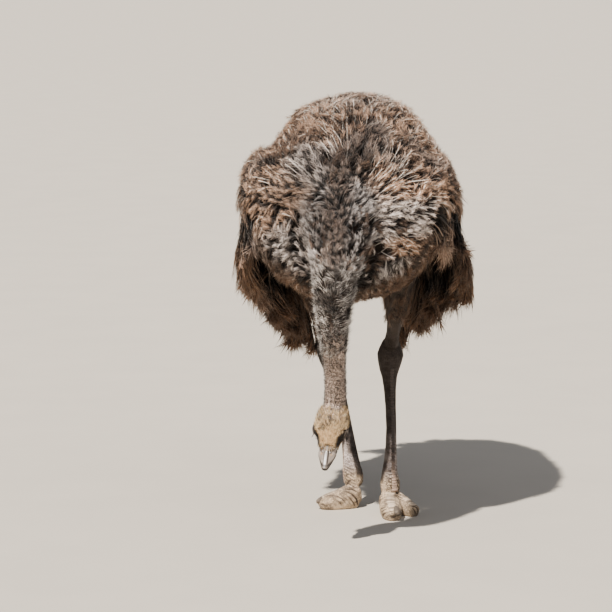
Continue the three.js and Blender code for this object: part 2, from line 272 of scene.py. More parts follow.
class Wires:
    """Adds shader nodes to one tree, and gives back the sockets that they put out."""

    def __init__(self, tree: NodeTree) -> None:
        """Starts on a tree."""
        self.tree = tree

    def add(self, kind: str, **settings: object) -> Node:
        """A new node with its settings."""
        node = self.tree.nodes.new(kind)
        for name, value in settings.items():
            setattr(node, name, value)
        return node

    def feed(self, socket: NodeSocket, value: object) -> None:
        """Links a socket to another one, or sets it to a plain value."""
        if isinstance(value, NodeSocket):
            self.tree.links.new(value, socket)
        elif isinstance(value, tuple) and len(value) == 3 and socket.type == "RGBA":
            socket.default_value = (*value, 1.0)
        else:
            socket.default_value = value

    def math(self, operation: str, first: object, second: object = 0.0) -> NodeSocket:
        """The result of one sum."""
        node = self.add("ShaderNodeMath", operation=operation)
        self.feed(node.inputs[0], first)
        self.feed(node.inputs[1], second)
        return node.outputs[0]

    def plus(self, first: object, second: object) -> NodeSocket:
        """Two values added."""
        return self.math("ADD", first, second)

    def times(self, first: object, second: object) -> NodeSocket:
        """Two values multiplied."""
        return self.math("MULTIPLY", first, second)

    def mix(self, share: object, first: object, second: object, way: str = "MIX") -> NodeSocket:
        """Two colours mixed by a share."""
        node = self.add("ShaderNodeMix", data_type="RGBA", blend_type=way)
        self.feed(node.inputs[0], share)
        self.feed(node.inputs[6], first)
        self.feed(node.inputs[7], second)
        return node.outputs[2]

    def step(
        self, value: object, low: float, high: float, start: float = 0.0, end: float = 1.0
    ) -> NodeSocket:
        """A smooth step of a value from start at low to end at high."""
        node = self.add("ShaderNodeMapRange", interpolation_type="SMOOTHSTEP")
        for socket, given in zip(node.inputs, (value, low, high, start, end)):
            self.feed(socket, given)
        return node.outputs[0]

    def place(self) -> NodeSocket:
        """The place on the object, in metres."""
        return self.add("ShaderNodeTexCoord").outputs["Object"]

    def stretched(self, vector: object, scale: Way) -> NodeSocket:
        """A place stretched along its three axes."""
        node = self.add("ShaderNodeMapping")
        self.feed(node.inputs["Vector"], vector)
        node.inputs["Scale"].default_value = scale
        return node.outputs[0]

    def noise(self, vector: object, scale: object, detail: float = 3.0, rough: float = 0.55) -> NodeSocket:
        """Cloudy noise from 0 to 1."""
        node = self.add("ShaderNodeTexNoise")
        for name, value in {"Vector": vector, "Scale": scale, "Detail": detail, "Roughness": rough}.items():
            self.feed(node.inputs[name], value)
        return node.outputs["Fac"]

    def cells(self, vector: object, scale: object) -> NodeSocket:
        """The distance to the nearest edge between scattered cells."""
        node = self.add("ShaderNodeTexVoronoi", feature="DISTANCE_TO_EDGE")
        self.feed(node.inputs["Vector"], vector)
        self.feed(node.inputs["Scale"], scale)
        return node.outputs["Distance"]

    def read(self, name: str) -> Node:
        """A node that reads an attribute of the piece."""
        return self.add("ShaderNodeAttribute", attribute_name=name)

    def parts(self, name: str) -> tuple[NodeSocket, ...]:
        """The three numbers of an attribute of the piece."""
        node = self.add("ShaderNodeSeparateXYZ")
        self.feed(node.inputs[0], self.read(name).outputs["Vector"])
        return tuple(node.outputs)

    def group(self, tree: NodeTree, **given: object) -> Node:
        """A node that places a group, with its inputs. An underscore in a name stands for a space."""
        node = self.add("ShaderNodeGroup", node_tree=tree)
        for name, value in given.items():
            self.feed(node.inputs[name.replace("_", " ")], value)
        return node


def new_group(name: str, **inputs: str) -> tuple[Wires, Node, Node]:
    """Starts a shader node group, which gives back a colour and a height.

    Args:
        name: the group's name.
        inputs: the kind of each input, by its name with an underscore for a space.

    Returns:
        Wires for the group's tree, its input node and its output node.
    """
    tree = bpy.data.node_groups.new(name, "ShaderNodeTree")
    for way, sockets in (("INPUT", inputs), ("OUTPUT", {"Color": "Color", "Height": "Float"})):
        for label, kind in sockets.items():
            title = label.replace("_", " ")
            tree.interface.new_socket(name=title, in_out=way, socket_type=f"NodeSocket{kind}")
    wires = Wires(tree)
    return wires, wires.add("NodeGroupInput"), wires.add("NodeGroupOutput")


WEB_COLOURS = ("grey", "grey_edge", "brown", "brown_edge", "rust_edge", "dark", "dark_edge", "shaft")


class Effects:
    """The effects that several materials share, each a node group that is built once."""

    def __init__(self) -> None:
        """Builds the groups."""
        self.mottle = self._mottle()
        self.web = self._web()
        self.scales = self._scales()
        self.growth = self._growth()

    @staticmethod
    def _mottle() -> NodeTree:
        """Uneven colour at two sizes, and a fine grain."""
        wires, given, made = new_group("Mottle", Color="Color", Scale="Float", Amount="Float")
        place = wires.place()
        broad = wires.noise(place, given.outputs["Scale"], 2.0)
        fine = wires.noise(place, wires.times(given.outputs["Scale"], 9.0), 3.0)
        both = wires.plus(wires.times(broad, 0.6), wires.times(fine, 0.4))
        swing = wires.times(wires.math("SUBTRACT", both, 0.5), given.outputs["Amount"])
        level = wires.plus(wires.times(swing, 2.0), 1.0)
        wires.feed(made.inputs["Color"], wires.mix(1.0, given.outputs["Color"], level, "MULTIPLY"))
        wires.feed(made.inputs["Height"], fine)
        return wires.tree

    @staticmethod
    def _web() -> NodeTree:
        """A feather's colours: grey, brown or dark by place, darker at the root (partly its colour, partly
        painted shade where feathers overlap), paler at the edge.
        """
        colours = {name.title(): "Color" for name in WEB_COLOURS}
        wires, given, made = new_group("Web", **colours, Root="Float")
        along, across, tone = wires.parts("lay")
        grey, dark, warm = wires.parts("marking")
        aside = wires.math("ABSOLUTE", across)
        outward = wires.plus(along, wires.times(aside, 0.25))
        ragged = wires.plus(outward, wires.times(wires.noise(wires.place(), 160.0), 0.35))
        edge = wires.step(ragged, 0.58, 1.08)
        tan = wires.mix(warm, given.outputs["Brown Edge"], given.outputs["Rust Edge"])
        colour = wires.mix(edge, given.outputs["Brown"], tan)
        silver = wires.mix(edge, given.outputs["Grey"], given.outputs["Grey Edge"])
        low = wires.mix(edge, given.outputs["Dark"], given.outputs["Dark Edge"])
        colour = wires.mix(dark, wires.mix(grey, colour, silver), low)
        slant = wires.math("SUBTRACT", along, wires.times(aside, 0.4))
        barb = wires.math("SINE", wires.times(slant, 150.0))
        level = wires.plus(wires.times(tone, 0.9), 0.55)
        level = wires.times(level, wires.plus(wires.times(barb, 0.12), 1.0))
        # Darker towards the root: partly the feather's colour, partly painted shade where the feathers
        # overlap.
        rising = wires.step(along, 0.15, 0.72)
        root_shade = wires.times(wires.math("SUBTRACT", 1.0, rising), given.outputs["Root"])
        level = wires.times(level, wires.math("SUBTRACT", 1.0, root_shade))
        colour = wires.mix(1.0, colour, level, "MULTIPLY")
        shaft = wires.times(wires.step(aside, 0.05, 0.11, 1.0, 0.0), wires.step(along, 0.95, 0.8))
        shaft = wires.times(shaft, wires.step(tone, 0.5, 0.75))
        shaft = wires.times(shaft, wires.math("SUBTRACT", 1.0, dark))
        light = wires.mix(shaft, colour, given.outputs["Shaft"])
        wires.feed(made.inputs["Color"], light)
        wires.feed(made.inputs["Height"], barb)
        return wires.tree

    @staticmethod
    def _scales() -> NodeTree:
        """Rounded scales with dark lines between them."""
        wires, given, made = new_group("Scales", Color="Color", Line="Color", Scale="Float", Amount="Float")
        place = wires.place()
        bent = wires.add("ShaderNodeVectorMath", operation="ADD")
        wobble = wires.add("ShaderNodeTexNoise")
        wires.feed(wobble.inputs["Vector"], place)
        wobble.inputs["Scale"].default_value = 60.0
        small = wires.add("ShaderNodeVectorMath", operation="SCALE")
        wires.feed(small.inputs[0], wobble.outputs["Color"])
        small.inputs["Scale"].default_value = 0.006
        wires.feed(bent.inputs[0], place)
        wires.feed(bent.inputs[1], small.outputs[0])
        gap = wires.cells(bent.outputs[0], given.outputs["Scale"])
        dome = wires.step(gap, 0.0, 0.24)
        line = wires.times(wires.step(gap, 0.13, 0.0), given.outputs["Amount"])
        wires.feed(made.inputs["Color"], wires.mix(line, given.outputs["Color"], given.outputs["Line"]))
        wires.feed(made.inputs["Height"], wires.times(dome, given.outputs["Amount"]))
        return wires.tree

    @staticmethod
    def _growth() -> NodeTree:
        """Horn: fine lines along its growth, worn and paler in places."""
        wires, given, made = new_group("Growth", Color="Color", Worn="Color", Stretch="Vector")
        lines = wires.add("ShaderNodeVectorMath", operation="MULTIPLY")
        wires.feed(lines.inputs[0], wires.place())
        wires.feed(lines.inputs[1], given.outputs["Stretch"])
        streak = wires.noise(lines.outputs[0], 1.0, 4.0, 0.6)
        wear = wires.noise(wires.place(), 45.0, 4.0)
        share = wires.times(wires.step(wear, 0.42, 0.68), wires.step(streak, 0.35, 0.7))
        wires.feed(made.inputs["Color"], wires.mix(share, given.outputs["Color"], given.outputs["Worn"]))
        wires.feed(made.inputs["Height"], streak)
        return wires.tree


def new_material(name: str, roughness: float, **constants: float) -> tuple[Material, Wires, Node]:
    """Starts a material.

    Args:
        name: the material's name.
        roughness: its plain roughness.
        constants: other plain values of the shader. An underscore in a name stands for a space.

    Returns:
        The material, wires for its tree, and its shader.
    """
    material = bpy.data.materials.new(name)
    material.use_nodes = True
    wires = Wires(material.node_tree)
    shader = next(node for node in material.node_tree.nodes if node.type == "BSDF_PRINCIPLED")
    shader.inputs["Roughness"].default_value = roughness
    for label, value in constants.items():
        shader.inputs[label.replace("_", " ")].default_value = value
    return material, wires, shader


def bump(wires: Wires, shader: Node, height: object, distance: float, strength: float = 0.6) -> None:
    """Lets a height roughen a shader's surface.

    Args:
        wires: the wires of the material.
        shader: the shader that is roughened.
        height: the socket of the height.
        distance: the depth in metres of a height of 1.
        strength: how much of it shows.
    """
    node = wires.add("ShaderNodeBump")
    node.inputs["Distance"].default_value = distance
    node.inputs["Strength"].default_value = strength
    wires.feed(node.inputs["Height"], height)
    wires.feed(shader.inputs["Normal"], node.outputs[0])


@dataclass(frozen=True)
class PlumageFinish:
    """The look of feathers, down or bristles."""

    name: str
    grey: Colour = (0.110, 0.093, 0.088)
    grey_edge: Colour = (0.720, 0.645, 0.605)
    brown: Colour = (0.100, 0.067, 0.052)
    brown_edge: Colour = (0.610, 0.425, 0.315)
    rust_edge: Colour = (0.620, 0.380, 0.240)
    dark: Colour = (0.020, 0.013, 0.009)
    dark_edge: Colour = (0.170, 0.098, 0.060)
    shaft: Colour = (0.860, 0.790, 0.720)
    root: float = 0.80  # how much darker a feather is at its root: partly its colour, partly painted shade where others cover it
    roughness: float = 0.72
    sheen: float = 0.2

    def material(self, effects: Effects) -> Material:
        """Builds the material."""
        material, wires, shader = new_material(
            self.name, self.roughness, Sheen_Weight=self.sheen, Sheen_Roughness=0.45, Specular_IOR_Level=0.3
        )
        colours = {name.title(): getattr(self, name) for name in WEB_COLOURS}
        web = wires.group(effects.web, **colours, Root=self.root)
        mottle = wires.group(effects.mottle, Color=web.outputs["Color"], Scale=14.0, Amount=0.5)
        wires.feed(shader.inputs["Base Color"], mottle.outputs["Color"])
        bump(wires, shader, web.outputs["Height"], 0.0006)
        return material


@dataclass(frozen=True)
class SkinFinish:
    """The look of the skin: bare neck, face, legs and feet, and dark under the coat, which is painted shade.
    """

    name: str = "Bare_skin"
    neck: Colour = (0.640, 0.510, 0.440)
    face: Colour = (0.600, 0.420, 0.250)
    # dark skin, also used for painted shade on the shanks and face
    shade: Colour = (0.022, 0.015, 0.011)
    shank: Colour = (0.720, 0.620, 0.585)
    foot: Colour = (0.640, 0.500, 0.360)
    soil: Colour = (0.230, 0.175, 0.135)
    # painted shade on the skin where the coat covers it
    under: Colour = (0.040, 0.028, 0.022)
    # dark lines between the scales and speckles, also the painted shade in the creases
    line: Colour = (0.060, 0.042, 0.032)
    roughness: float = 0.62

    def material(self, effects: Effects) -> Material:
        """Builds the material."""
        material, wires, shader = new_material(self.name, self.roughness, Specular_IOR_Level=0.35)
        leg, foot, face = wires.parts("bare")
        shade_under_coat, dark, crease_shade = wires.parts("wear_and_painted_shade")
        colour = wires.mix(leg, self.neck, self.shank)
        colour = wires.mix(foot, colour, self.foot)
        colour = wires.mix(face, colour, self.face)
        scaly = wires.math("MAXIMUM", leg, foot)
        soiled = wires.step(wires.noise(wires.place(), 28.0, 3.0), 0.36, 0.62, 0.25, 1.0)
        amount = wires.times(scaly, soiled)
        scales = wires.group(effects.scales, Color=colour, Line=self.line, Scale=190.0, Amount=amount)
        mottle = wires.group(effects.mottle, Color=scales.outputs["Color"], Scale=22.0, Amount=0.6)
        dirt = wires.noise(wires.stretched(wires.place(), (30.0, 30.0, 55.0)), 1.0, 4.0, 0.65)
        dirt = wires.times(wires.step(dirt, 0.47, 0.64, 0.0, 0.75), scaly)
        colour = wires.mix(dirt, mottle.outputs["Color"], self.soil)
        spots = wires.step(wires.noise(wires.place(), 380.0, 2.0), 0.49, 0.56, 0.0, 0.85)
        bare = wires.math("SUBTRACT", 1.0, wires.math("MAXIMUM", scaly, face))
        colour = wires.mix(wires.times(spots, bare), colour, self.line)
        # Dark skin, partly painted shade on the upper and inner shanks and the face.
        colour = wires.mix(dark, colour, self.shade)
        # Painted shade in the creases, along the mouth's line and in the ear's opening.
        colour = wires.mix(wires.times(crease_shade, 0.9), colour, self.line)
        # Painted shade where the coat covers the skin.
        colour = wires.mix(shade_under_coat, colour, self.under)
        wires.feed(shader.inputs["Base Color"], colour)
        folds = wires.noise(wires.stretched(wires.place(), (30.0, 30.0, 260.0)), 1.0, 3.0)
        fine = wires.plus(wires.times(folds, 0.5), wires.times(mottle.outputs["Height"], 0.5))
        height = wires.plus(wires.times(scales.outputs["Height"], 1.2), fine)
        bump(wires, shader, height, 0.0018, 0.9)
        return material


@dataclass(frozen=True)
class HornFinish:
    """The look of bill and claws."""

    name: str
    horn: Colour
    wear_and_painted_shade: Colour
    ridge: Colour
    tip: Colour
    warm: Colour
    stretch: Way
    roughness: float = 0.4
    coat: float = 0.25

    def material(self, effects: Effects) -> Material:
        """Builds the material."""
        material, wires, shader = new_material(
            self.name, self.roughness, Coat_Roughness=0.2, Coat_Weight=self.coat
        )
        dark, ridge, warm = wires.parts("horn")
        growth = wires.group(effects.growth, Color=self.horn, Worn=self.wear_and_painted_shade, Stretch=self.stretch)
        mottle = wires.group(effects.mottle, Color=growth.outputs["Color"], Scale=60.0, Amount=0.3)
        # The ridge colour: worn horn, on the bill also a painted highlight.
        colour = wires.mix(ridge, mottle.outputs["Color"], self.ridge)
        colour = wires.mix(warm, colour, self.warm)
        # The tip colour, on the bill also painted shade.
        colour = wires.mix(dark, colour, self.tip)
        wires.feed(shader.inputs["Base Color"], colour)
        bump(wires, shader, growth.outputs["Height"], 0.0003, 0.5)
        return material


@dataclass(frozen=True)
class ScaleFinish:
    """The look of the horny plates on the front of the legs and toes, each lighter or darker."""

    name: str
    plate: Colour
    pale: Colour
    roughness: float = 0.5

    def material(self, effects: Effects) -> Material:
        """Builds the material."""
        material, wires, shader = new_material(self.name, self.roughness, Coat_Weight=0.1)
        tone = wires.step(wires.read("tone").outputs["Fac"], 0.25, 0.8)
        colour = wires.mix(tone, self.plate, self.pale)
        mottle = wires.group(effects.mottle, Color=colour, Scale=40.0, Amount=0.8)
        wires.feed(shader.inputs["Base Color"], mottle.outputs["Color"])
        bump(wires, shader, mottle.outputs["Height"], 0.0005)
        return material


@dataclass(frozen=True)
class EyeFinish:
    """The look of the eyeball: pupil, iris and a dark rim under a wet surface."""

    name: str = "Wet_eye"
    pupil: Colour = (0.003, 0.002, 0.002)
    iris: Colour = (0.085, 0.040, 0.018)
    rim: Colour = (0.020, 0.012, 0.008)

    def material(self, effects: Effects) -> Material:
        """Builds the material."""
        material, wires, shader = new_material(
            self.name, 0.06, Coat_Weight=0.25, Coat_Roughness=0.03, Specular_IOR_Level=0.45
        )
        turn, _, around = wires.parts("gaze")
        rays = wires.times(wires.math("SINE", wires.times(around, 40.0)), 0.15)
        iris = wires.mix(wires.plus(rays, 0.3), self.iris, self.rim)
        colour = wires.mix(wires.step(turn, 0.26, 0.30), self.pupil, iris)
        colour = wires.mix(wires.step(turn, 0.50, 0.62), colour, self.rim)
        mottle = wires.group(effects.mottle, Color=colour, Scale=120.0, Amount=0.4)
        wires.feed(shader.inputs["Base Color"], mottle.outputs["Color"])
        return material


@dataclass(frozen=True)
class LidFinish:
    """The look of eyelids and lips: thin, dark, slightly moist skin."""

    name: str
    skin: Colour
    pale: Colour

    def material(self, effects: Effects) -> Material:
        """Builds the material."""
        material, wires, shader = new_material(self.name, 0.45, Coat_Weight=0.15)
        wear = wires.step(wires.noise(wires.place(), 220.0, 4.0), 0.4, 0.7)
        colour = wires.mix(wear, self.skin, self.pale)
        mottle = wires.group(effects.mottle, Color=colour, Scale=80.0, Amount=0.4)
        wires.feed(shader.inputs["Base Color"], mottle.outputs["Color"])
        bump(wires, shader, mottle.outputs["Height"], 0.0004)
        return material


BODY_PLUMAGE = PlumageFinish("Body_plumage")
HANGING_PLUMAGE = PlumageFinish(
    "Hanging_plumage",
    brown=(0.060, 0.038, 0.028),
    brown_edge=(0.440, 0.300, 0.220),
    rust_edge=(0.440, 0.270, 0.175),
    shaft=(0.420, 0.310, 0.240),
)
NECK_DOWN = PlumageFinish(
    "Neck_down",
    grey=(0.17, 0.135, 0.115),
    grey_edge=(0.95, 0.88, 0.81),
    brown=(0.11, 0.080, 0.065),
    brown_edge=(0.66, 0.57, 0.50),
    dark=(0.022, 0.015, 0.012),
    dark_edge=(0.120, 0.085, 0.065),
    root=0.55,
)
HEAD_BRISTLE = PlumageFinish(
    "Head_bristle",
    grey=(0.70, 0.47, 0.26),
    grey_edge=(0.98, 0.76, 0.46),
    brown=(0.62, 0.37, 0.16),
    brown_edge=(0.98, 0.68, 0.30),
    rust_edge=(0.97, 0.63, 0.29),
    dark=(0.030, 0.020, 0.014),
    dark_edge=(0.070, 0.048, 0.034),
    shaft=(0.95, 0.84, 0.62),
    root=0.12,
)
LASH = PlumageFinish("Lash", brown=(0.012, 0.009, 0.007), brown_edge=(0.02, 0.015, 0.012), sheen=0.0)
SKIN = SkinFinish()
BILL_HORN = HornFinish(
    "Bill_horn",
    horn=(0.270, 0.225, 0.195),
    wear_and_painted_shade=(0.46, 0.41, 0.375),
    # the ridge: paler worn horn with a painted highlight
    ridge=(0.86, 0.86, 0.89),
    # tip: the dark nail, also used for painted shade on the bill
    tip=(0.020, 0.016, 0.015),
    warm=(0.50, 0.31, 0.17),
    stretch=(300.0, 300.0, 40.0),
    roughness=0.32,
    coat=0.5,
)
CLAW_HORN = HornFinish(
    "Claw_horn",
    horn=(0.140, 0.112, 0.090),
    wear_and_painted_shade=(0.40, 0.32, 0.24),
    ridge=(0.40, 0.32, 0.24),
    tip=(0.24, 0.19, 0.14),
    warm=(0.30, 0.24, 0.18),
    stretch=(60.0, 60.0, 400.0),
    roughness=0.7,
    coat=0.0,
)
SCUTE = ScaleFinish("Scute", (0.070, 0.054, 0.047), (0.420, 0.310, 0.245))
TOE_SCUTE = ScaleFinish("Toe_scute", (0.300, 0.235, 0.180), (0.64, 0.52, 0.40))
EYE = EyeFinish()
LID = LidFinish("Lid_skin", (0.050, 0.038, 0.032), (0.16, 0.125, 0.10))
LIP = LidFinish("Lip_skin", (0.300, 0.215, 0.135), (0.46, 0.36, 0.24))


# Where things are on her


class HeadPlace:
    """The head's own axes: X to her left, Y to her crown and Z the bill's way, from between the eyes."""

    TIP_BELOW = 0.228  # the bill's tip lies this far below the head's own line, in radians
    EYES_ABOVE = 0.005
    EYES_AHEAD = 0.003
    EYE_REACH = 0.034  # how far the surroundings of an eye reach from its middle

    def __init__(self) -> None:
        """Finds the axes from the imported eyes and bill."""
        self.eyes = {side: sum(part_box(f"eye_{side}"), Vector()) / 2 for side in SIDES}
        self.left = (self.eyes["left"] - self.eyes["right"]).normalized()
        middle = (self.eyes["left"] + self.eyes["right"]) / 2
        bill = points_of(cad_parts["bill_upper"].data)
        tip = Vector(bill[np.argmax(np.linalg.norm(bill - np.array(middle), axis=1))])
        line = tip - middle
        line = (line - self.left * line.dot(self.left)).normalized()
        self.ahead = Matrix.Rotation(-self.TIP_BELOW, 3, self.left) @ line
        self.crown = self.ahead.cross(self.left)
        self.origin = middle - self.crown * self.EYES_ABOVE - self.ahead * self.EYES_AHEAD
        self.axes = np.array([self.left, self.crown, self.ahead])

    def point(self, x: float, y: float, z: float) -> Vector:
        """A place in the head, in metres, as a place in the frame."""
        return self.origin + self.left * x + self.crown * y + self.ahead * z

    def gaze(self, way: int) -> Vector:
        """Which way an eye looks, on her left side for 1 and on her right for -1."""
        return (self.left * way + self.ahead * 0.08 - self.crown * 0.18).normalized()

    def local(self, points: Array) -> Array:
        """Places in the frame as places in the head."""
        return (points - np.array(self.origin)) @ self.axes.T

    def eye_angles(self, points: Array) -> Array:
        """For each point its angle from the nearer eye's opening, where it is close to that eye."""
        angles = np.full(len(points), np.pi)
        for side, way in SIDES.items():
            eye = np.array(self.eyes[side])
            gaze = np.array(self.gaze(way))
            ray = points - eye
            gap = np.linalg.norm(ray, axis=1)
            near = gap < self.EYE_REACH
            turn = np.arccos(np.clip(ray @ gaze / np.maximum(gap, 1e-9), -1, 1))
            angles = np.where(near, np.minimum(angles, turn), angles)
        return angles

    def shade(self, points: Array) -> Array:
        """How dark her face is, partly its colour and partly painted shade under the brow: round the eyes,
        and from each eye down to the corner of the bill.
        """
        x, y, z = (self.local(points) * 1000.0).T
        x = np.abs(x)
        eye = ramp(30.0, 24.0, np.sqrt((x - 27.0) ** 2 + (y - 5.0) ** 2 + (z - 3.0) ** 2))
        eye *= ramp(15.0, 8.0, y)
        side = np.interp(z, [0.0, 10.0, 24.0, 45.0, 56.0], [46.0, 39.0, 28.0, 22.0, 20.5])
        band = ramp(side - 3.0, side + 3.5, x) * ramp(-13.0, -8.0, y)
        band *= ramp(-2.0, 8.0, z) * ramp(57.0, 45.0, z)
        in_head = ramp(-60.0, -20.0, z) * ramp(0.44, 0.40, points[:, 2])
        return np.maximum(0.8 * eye, band) * in_head


class Surface:
    """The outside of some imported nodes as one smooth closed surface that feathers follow."""

    TRIES = 1.4  # the random places for each square of the spacing

    def __init__(self, nodes: tuple[str, ...], voxel: float, rounds: int = 3) -> None:
        """Joins the nodes.

        Args:
            nodes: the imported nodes.
            voxel: the size of the surface's cells.
            rounds: how many times it is relaxed.
        """
        piece = link_piece("surface", merged_copy(*nodes))
        remesh(piece, voxel, rounds)
        self.points = points_of(piece.data)
        self.normals = normals_of(piece.data)
        piece.data.calc_loop_triangles()
        corners = np.empty(len(piece.data.loop_triangles) * 3, np.int32)
        piece.data.loop_triangles.foreach_get("vertices", corners)
        self.triangles = corners.reshape(-1, 3)
        self.tree = BVHTree.FromPolygons(self.points.tolist(), self.triangles.tolist(), all_triangles=True)
        bpy.data.meshes.remove(piece.data)

    def nearest(self, point: Vector) -> tuple[Vector, Vector]:
        """The surface's nearest point and its normal there."""
        place, normal, _, _ = self.tree.find_nearest(point)
        return place, normal

    def inward(self, point: Vector, way: Vector) -> tuple[Vector, Vector] | None:
        """Where a line from a point meets the surface, and the normal there, or nothing."""
        place, normal, _, _ = self.tree.ray_cast(point, way)
        return None if place is None else (place, normal)

    def scatter(self, spacing: float, wanted: Callable[[Array], Array], rng: Generator) -> Roots:
        """Picks places at random that are at least a spacing apart.

        Args:
            spacing: the least distance between two of them.
            wanted: says for places which of them may be picked.
            rng: what the places come from.

        Returns:
            The picked places and the normals there.
        """
        corners = self.points[self.triangles]
        across = np.cross(corners[:, 1] - corners[:, 0], corners[:, 2] - corners[:, 0])
        areas = np.linalg.norm(across, axis=1)
        count = int(self.TRIES * areas.sum() / spacing**2)
        chosen = rng.choice(len(areas), count, p=areas / areas.sum())
        weights = rng.dirichlet((1.0, 1.0, 1.0), count)[:, :, None]
        places = (corners[chosen] * weights).sum(1)
        normals = unit((self.normals[self.triangles[chosen]] * weights).sum(1))
        kept = wanted(places)
        places, normals = places[kept], normals[kept]
        tree = KDTree(len(places))
        for i, place in enumerate(places):
            tree.insert(place, i)
        tree.balance()
        is_free = np.ones(len(places), bool)
        picked = []
        for i, place in enumerate(places):
            if is_free[i]:
                picked.append(i)
                is_free[[found[1] for found in tree.find_range(place, spacing)]] = False
        return places[picked], normals[picked]


@dataclass(frozen=True)
class Patch:
    """A soft-edged area of her front that has colours of its own."""

    x: float
    z: float
    wide: float
    high: float
    grey: float = 0.1
    warm: float = 0.3
    lit: float = 0.0  # how much of the dark below the breast it lifts

    def share(self, points: Array) -> Array:
        """How much of the patch's colours each place has."""
        off = np.hypot((points[:, 0] - self.x) / self.wide, (points[:, 2] - self.z) / self.high)
        return ramp(1.25, 0.55, off) * ramp(0.10, -0.05, points[:, 1])


@dataclass
class Markings:
    """The colours of her coat by place: shares of grey, of dark and of rust brown."""

    head: HeadPlace
    patches: tuple[Patch, ...] = (
        Patch(0.12, 0.91, 0.14, 0.09, grey=0.80),
        Patch(-0.18, 0.83, 0.11, 0.08, grey=0.9),
        Patch(-0.12, 1.07, 0.10, 0.09, grey=0.8),
        Patch(0.05, 0.79, 0.11, 0.07, grey=1.0),
        Patch(-0.065, 0.86, 0.09, 0.16, grey=0.9),
        Patch(-0.23, 0.98, 0.11, 0.07, warm=0.6),
        Patch(0.15, 1.02, 0.15, 0.05, warm=1.0),
        Patch(0.14, 0.84, 0.09, 0.035, warm=1.0),
        Patch(-0.02, 1.18, 0.26, 0.055, warm=0.9),
        Patch(0.262, 0.86, 0.035, 0.11, grey=0.2, warm=0.5, lit=0.9),
    )
    streak: tuple[Pair, ...] = ((-0.072, 0.87), (-0.035, 1.09), (0.060, 1.145))
    streak_width: float = 0.036
    shield_foot: Pair = (-0.03, 0.742)  # the lowest place of the breast's pale feathers
    shield_half: float = 0.26
    shield_rise: float = 0.155

    def at(self, points: Array) -> Array:
        """The shares of grey, dark and rust at some places.

        Args:
            points: the places, one row each.

        Returns:
            One row of the three shares for each place.
        """
        x, y, z = points.T
        wave = np.sin(23.0 * x + 2.0 * np.sin(17.0 * z)) * np.sin(19.0 * y + 13.0 * z + 1.7)
        grey = 0.10 + 0.28 * wave
        warm = 0.45 + 0.35 * np.sin(11.0 * x + 4.0) * np.cos(13.0 * y - 9.0 * z)
        grey += 0.25 * ramp(1.18, 1.25, z)
        for patch in self.patches:
            share = patch.share(points)
            grey += share * (patch.grey - grey)
            warm += share * (patch.warm - warm)
        in_front = ramp(-0.15, -0.3, y)
        line = np.min([self.off_line(x, z, *ends) for ends in zip(self.streak, self.streak[1:])], axis=0)
        streak = ramp(1.5 * self.streak_width, 0.6 * self.streak_width, line) * in_front
        grey = np.maximum(grey, streak)
        foot_x, foot_z = self.shield_foot
        edge = foot_z + self.shield_rise * np.abs((x - foot_x) / self.shield_half) ** 2.9
        below = np.where(in_front > 0, ramp(0.012, -0.02, z - edge), ramp(0.84, 0.70, z))
        for patch in self.patches:
            below = below * (1.0 - patch.lit * patch.share(points))
        below = below * (1.0 - 0.50 * ramp(-0.22, -0.29, x))
        dark = np.maximum(below * ramp(-0.57, -0.48, y), 0.80 * streak)
        on_neck = ramp(-0.50, -0.57, y)
        half = 0.015 + 0.024 * ramp(0.78, 0.86, z)
        off = np.abs(x + 0.066 + 0.004 * np.sin(60.0 * z)) / half
        stripe = ramp(1.4, 0.5, off) * ramp(0.58, 0.66, z)
        grey = np.maximum(grey, on_neck)
        dark = np.maximum(dark, 0.75 * on_neck * stripe * ramp(-0.60, -0.62, y))
        dark = np.maximum(dark, self.head.shade(points))
        return np.clip(np.stack([grey, dark, warm], 1), 0.0, 1.0)

    def tone_and_painted_light(self, points: Array) -> Array:
        """How much lighter or darker than elsewhere: painted light on her neck's right, on her breast's left
        and on her back's top; pale on her neck's left edge; streaked on her head.
        """
        x, y, z = points.T
        neck = ramp(-0.50, -0.57, y) * ramp(0.42, 0.50, z) * ramp(0.88, 0.80, z)
        # Painted light on her neck's right side.
        right = ramp(-0.078, -0.094, x)
        left = ramp(-0.048, -0.036, x)
        across, _, ahead = (self.head.local(points) * 1000.0).T
        streaks = np.sin(1.9 * across + 0.8 * np.sin(0.11 * ahead))
        streaks += np.sin(0.9 * across + 1.3 * np.sin(0.07 * ahead) + 2.0)
        in_head = ramp(0.42, 0.38, z) * ramp(-0.42, -0.46, y)
        root = ramp(0.84, 0.90, z) * ramp(-0.42, -0.50, y)
        root *= ramp(0.15, 0.07, np.abs(x + 0.06))
        in_front = ramp(-0.2, -0.3, y)
        lit = ramp(1.3, 0.4, np.hypot((x - 0.13) / 0.15, (z - 0.95) / 0.14)) * in_front
        dim = ramp(1.3, 0.4, np.hypot((x + 0.20) / 0.10, (z - 0.93) / 0.10)) * in_front
        # Painted light on the left of her breast and along the top of her back.
        body = 0.48 * lit + 0.18 * ramp(1.08, 1.16, z) - 0.48 * root - 0.20 * dim
        return body + neck * (0.28 + 0.12 * right + 0.26 * left) + in_head * (0.20 + 0.25 * streaks)

    def sink(self, points: Array) -> Array:
        """How far the coat lies below the solids: flat on her shoulders, and risen over the bill's root."""
        x, y, z = points.T
        ahead = self.head.local(points)[:, 2]
        risen = ramp(0.040, 0.052, ahead) * ramp(0.42, 0.38, z) * ramp(-0.42, -0.46, y)
        right = np.hypot((x + 0.25) / 0.11, (z - 1.10) / 0.09)
        left = np.hypot((x - 0.27) / 0.13, (z - 1.08) / 0.13)
        return 0.014 * (ramp(1.4, 0.4, right) + ramp(1.4, 0.4, left)) - 0.0040 * risen

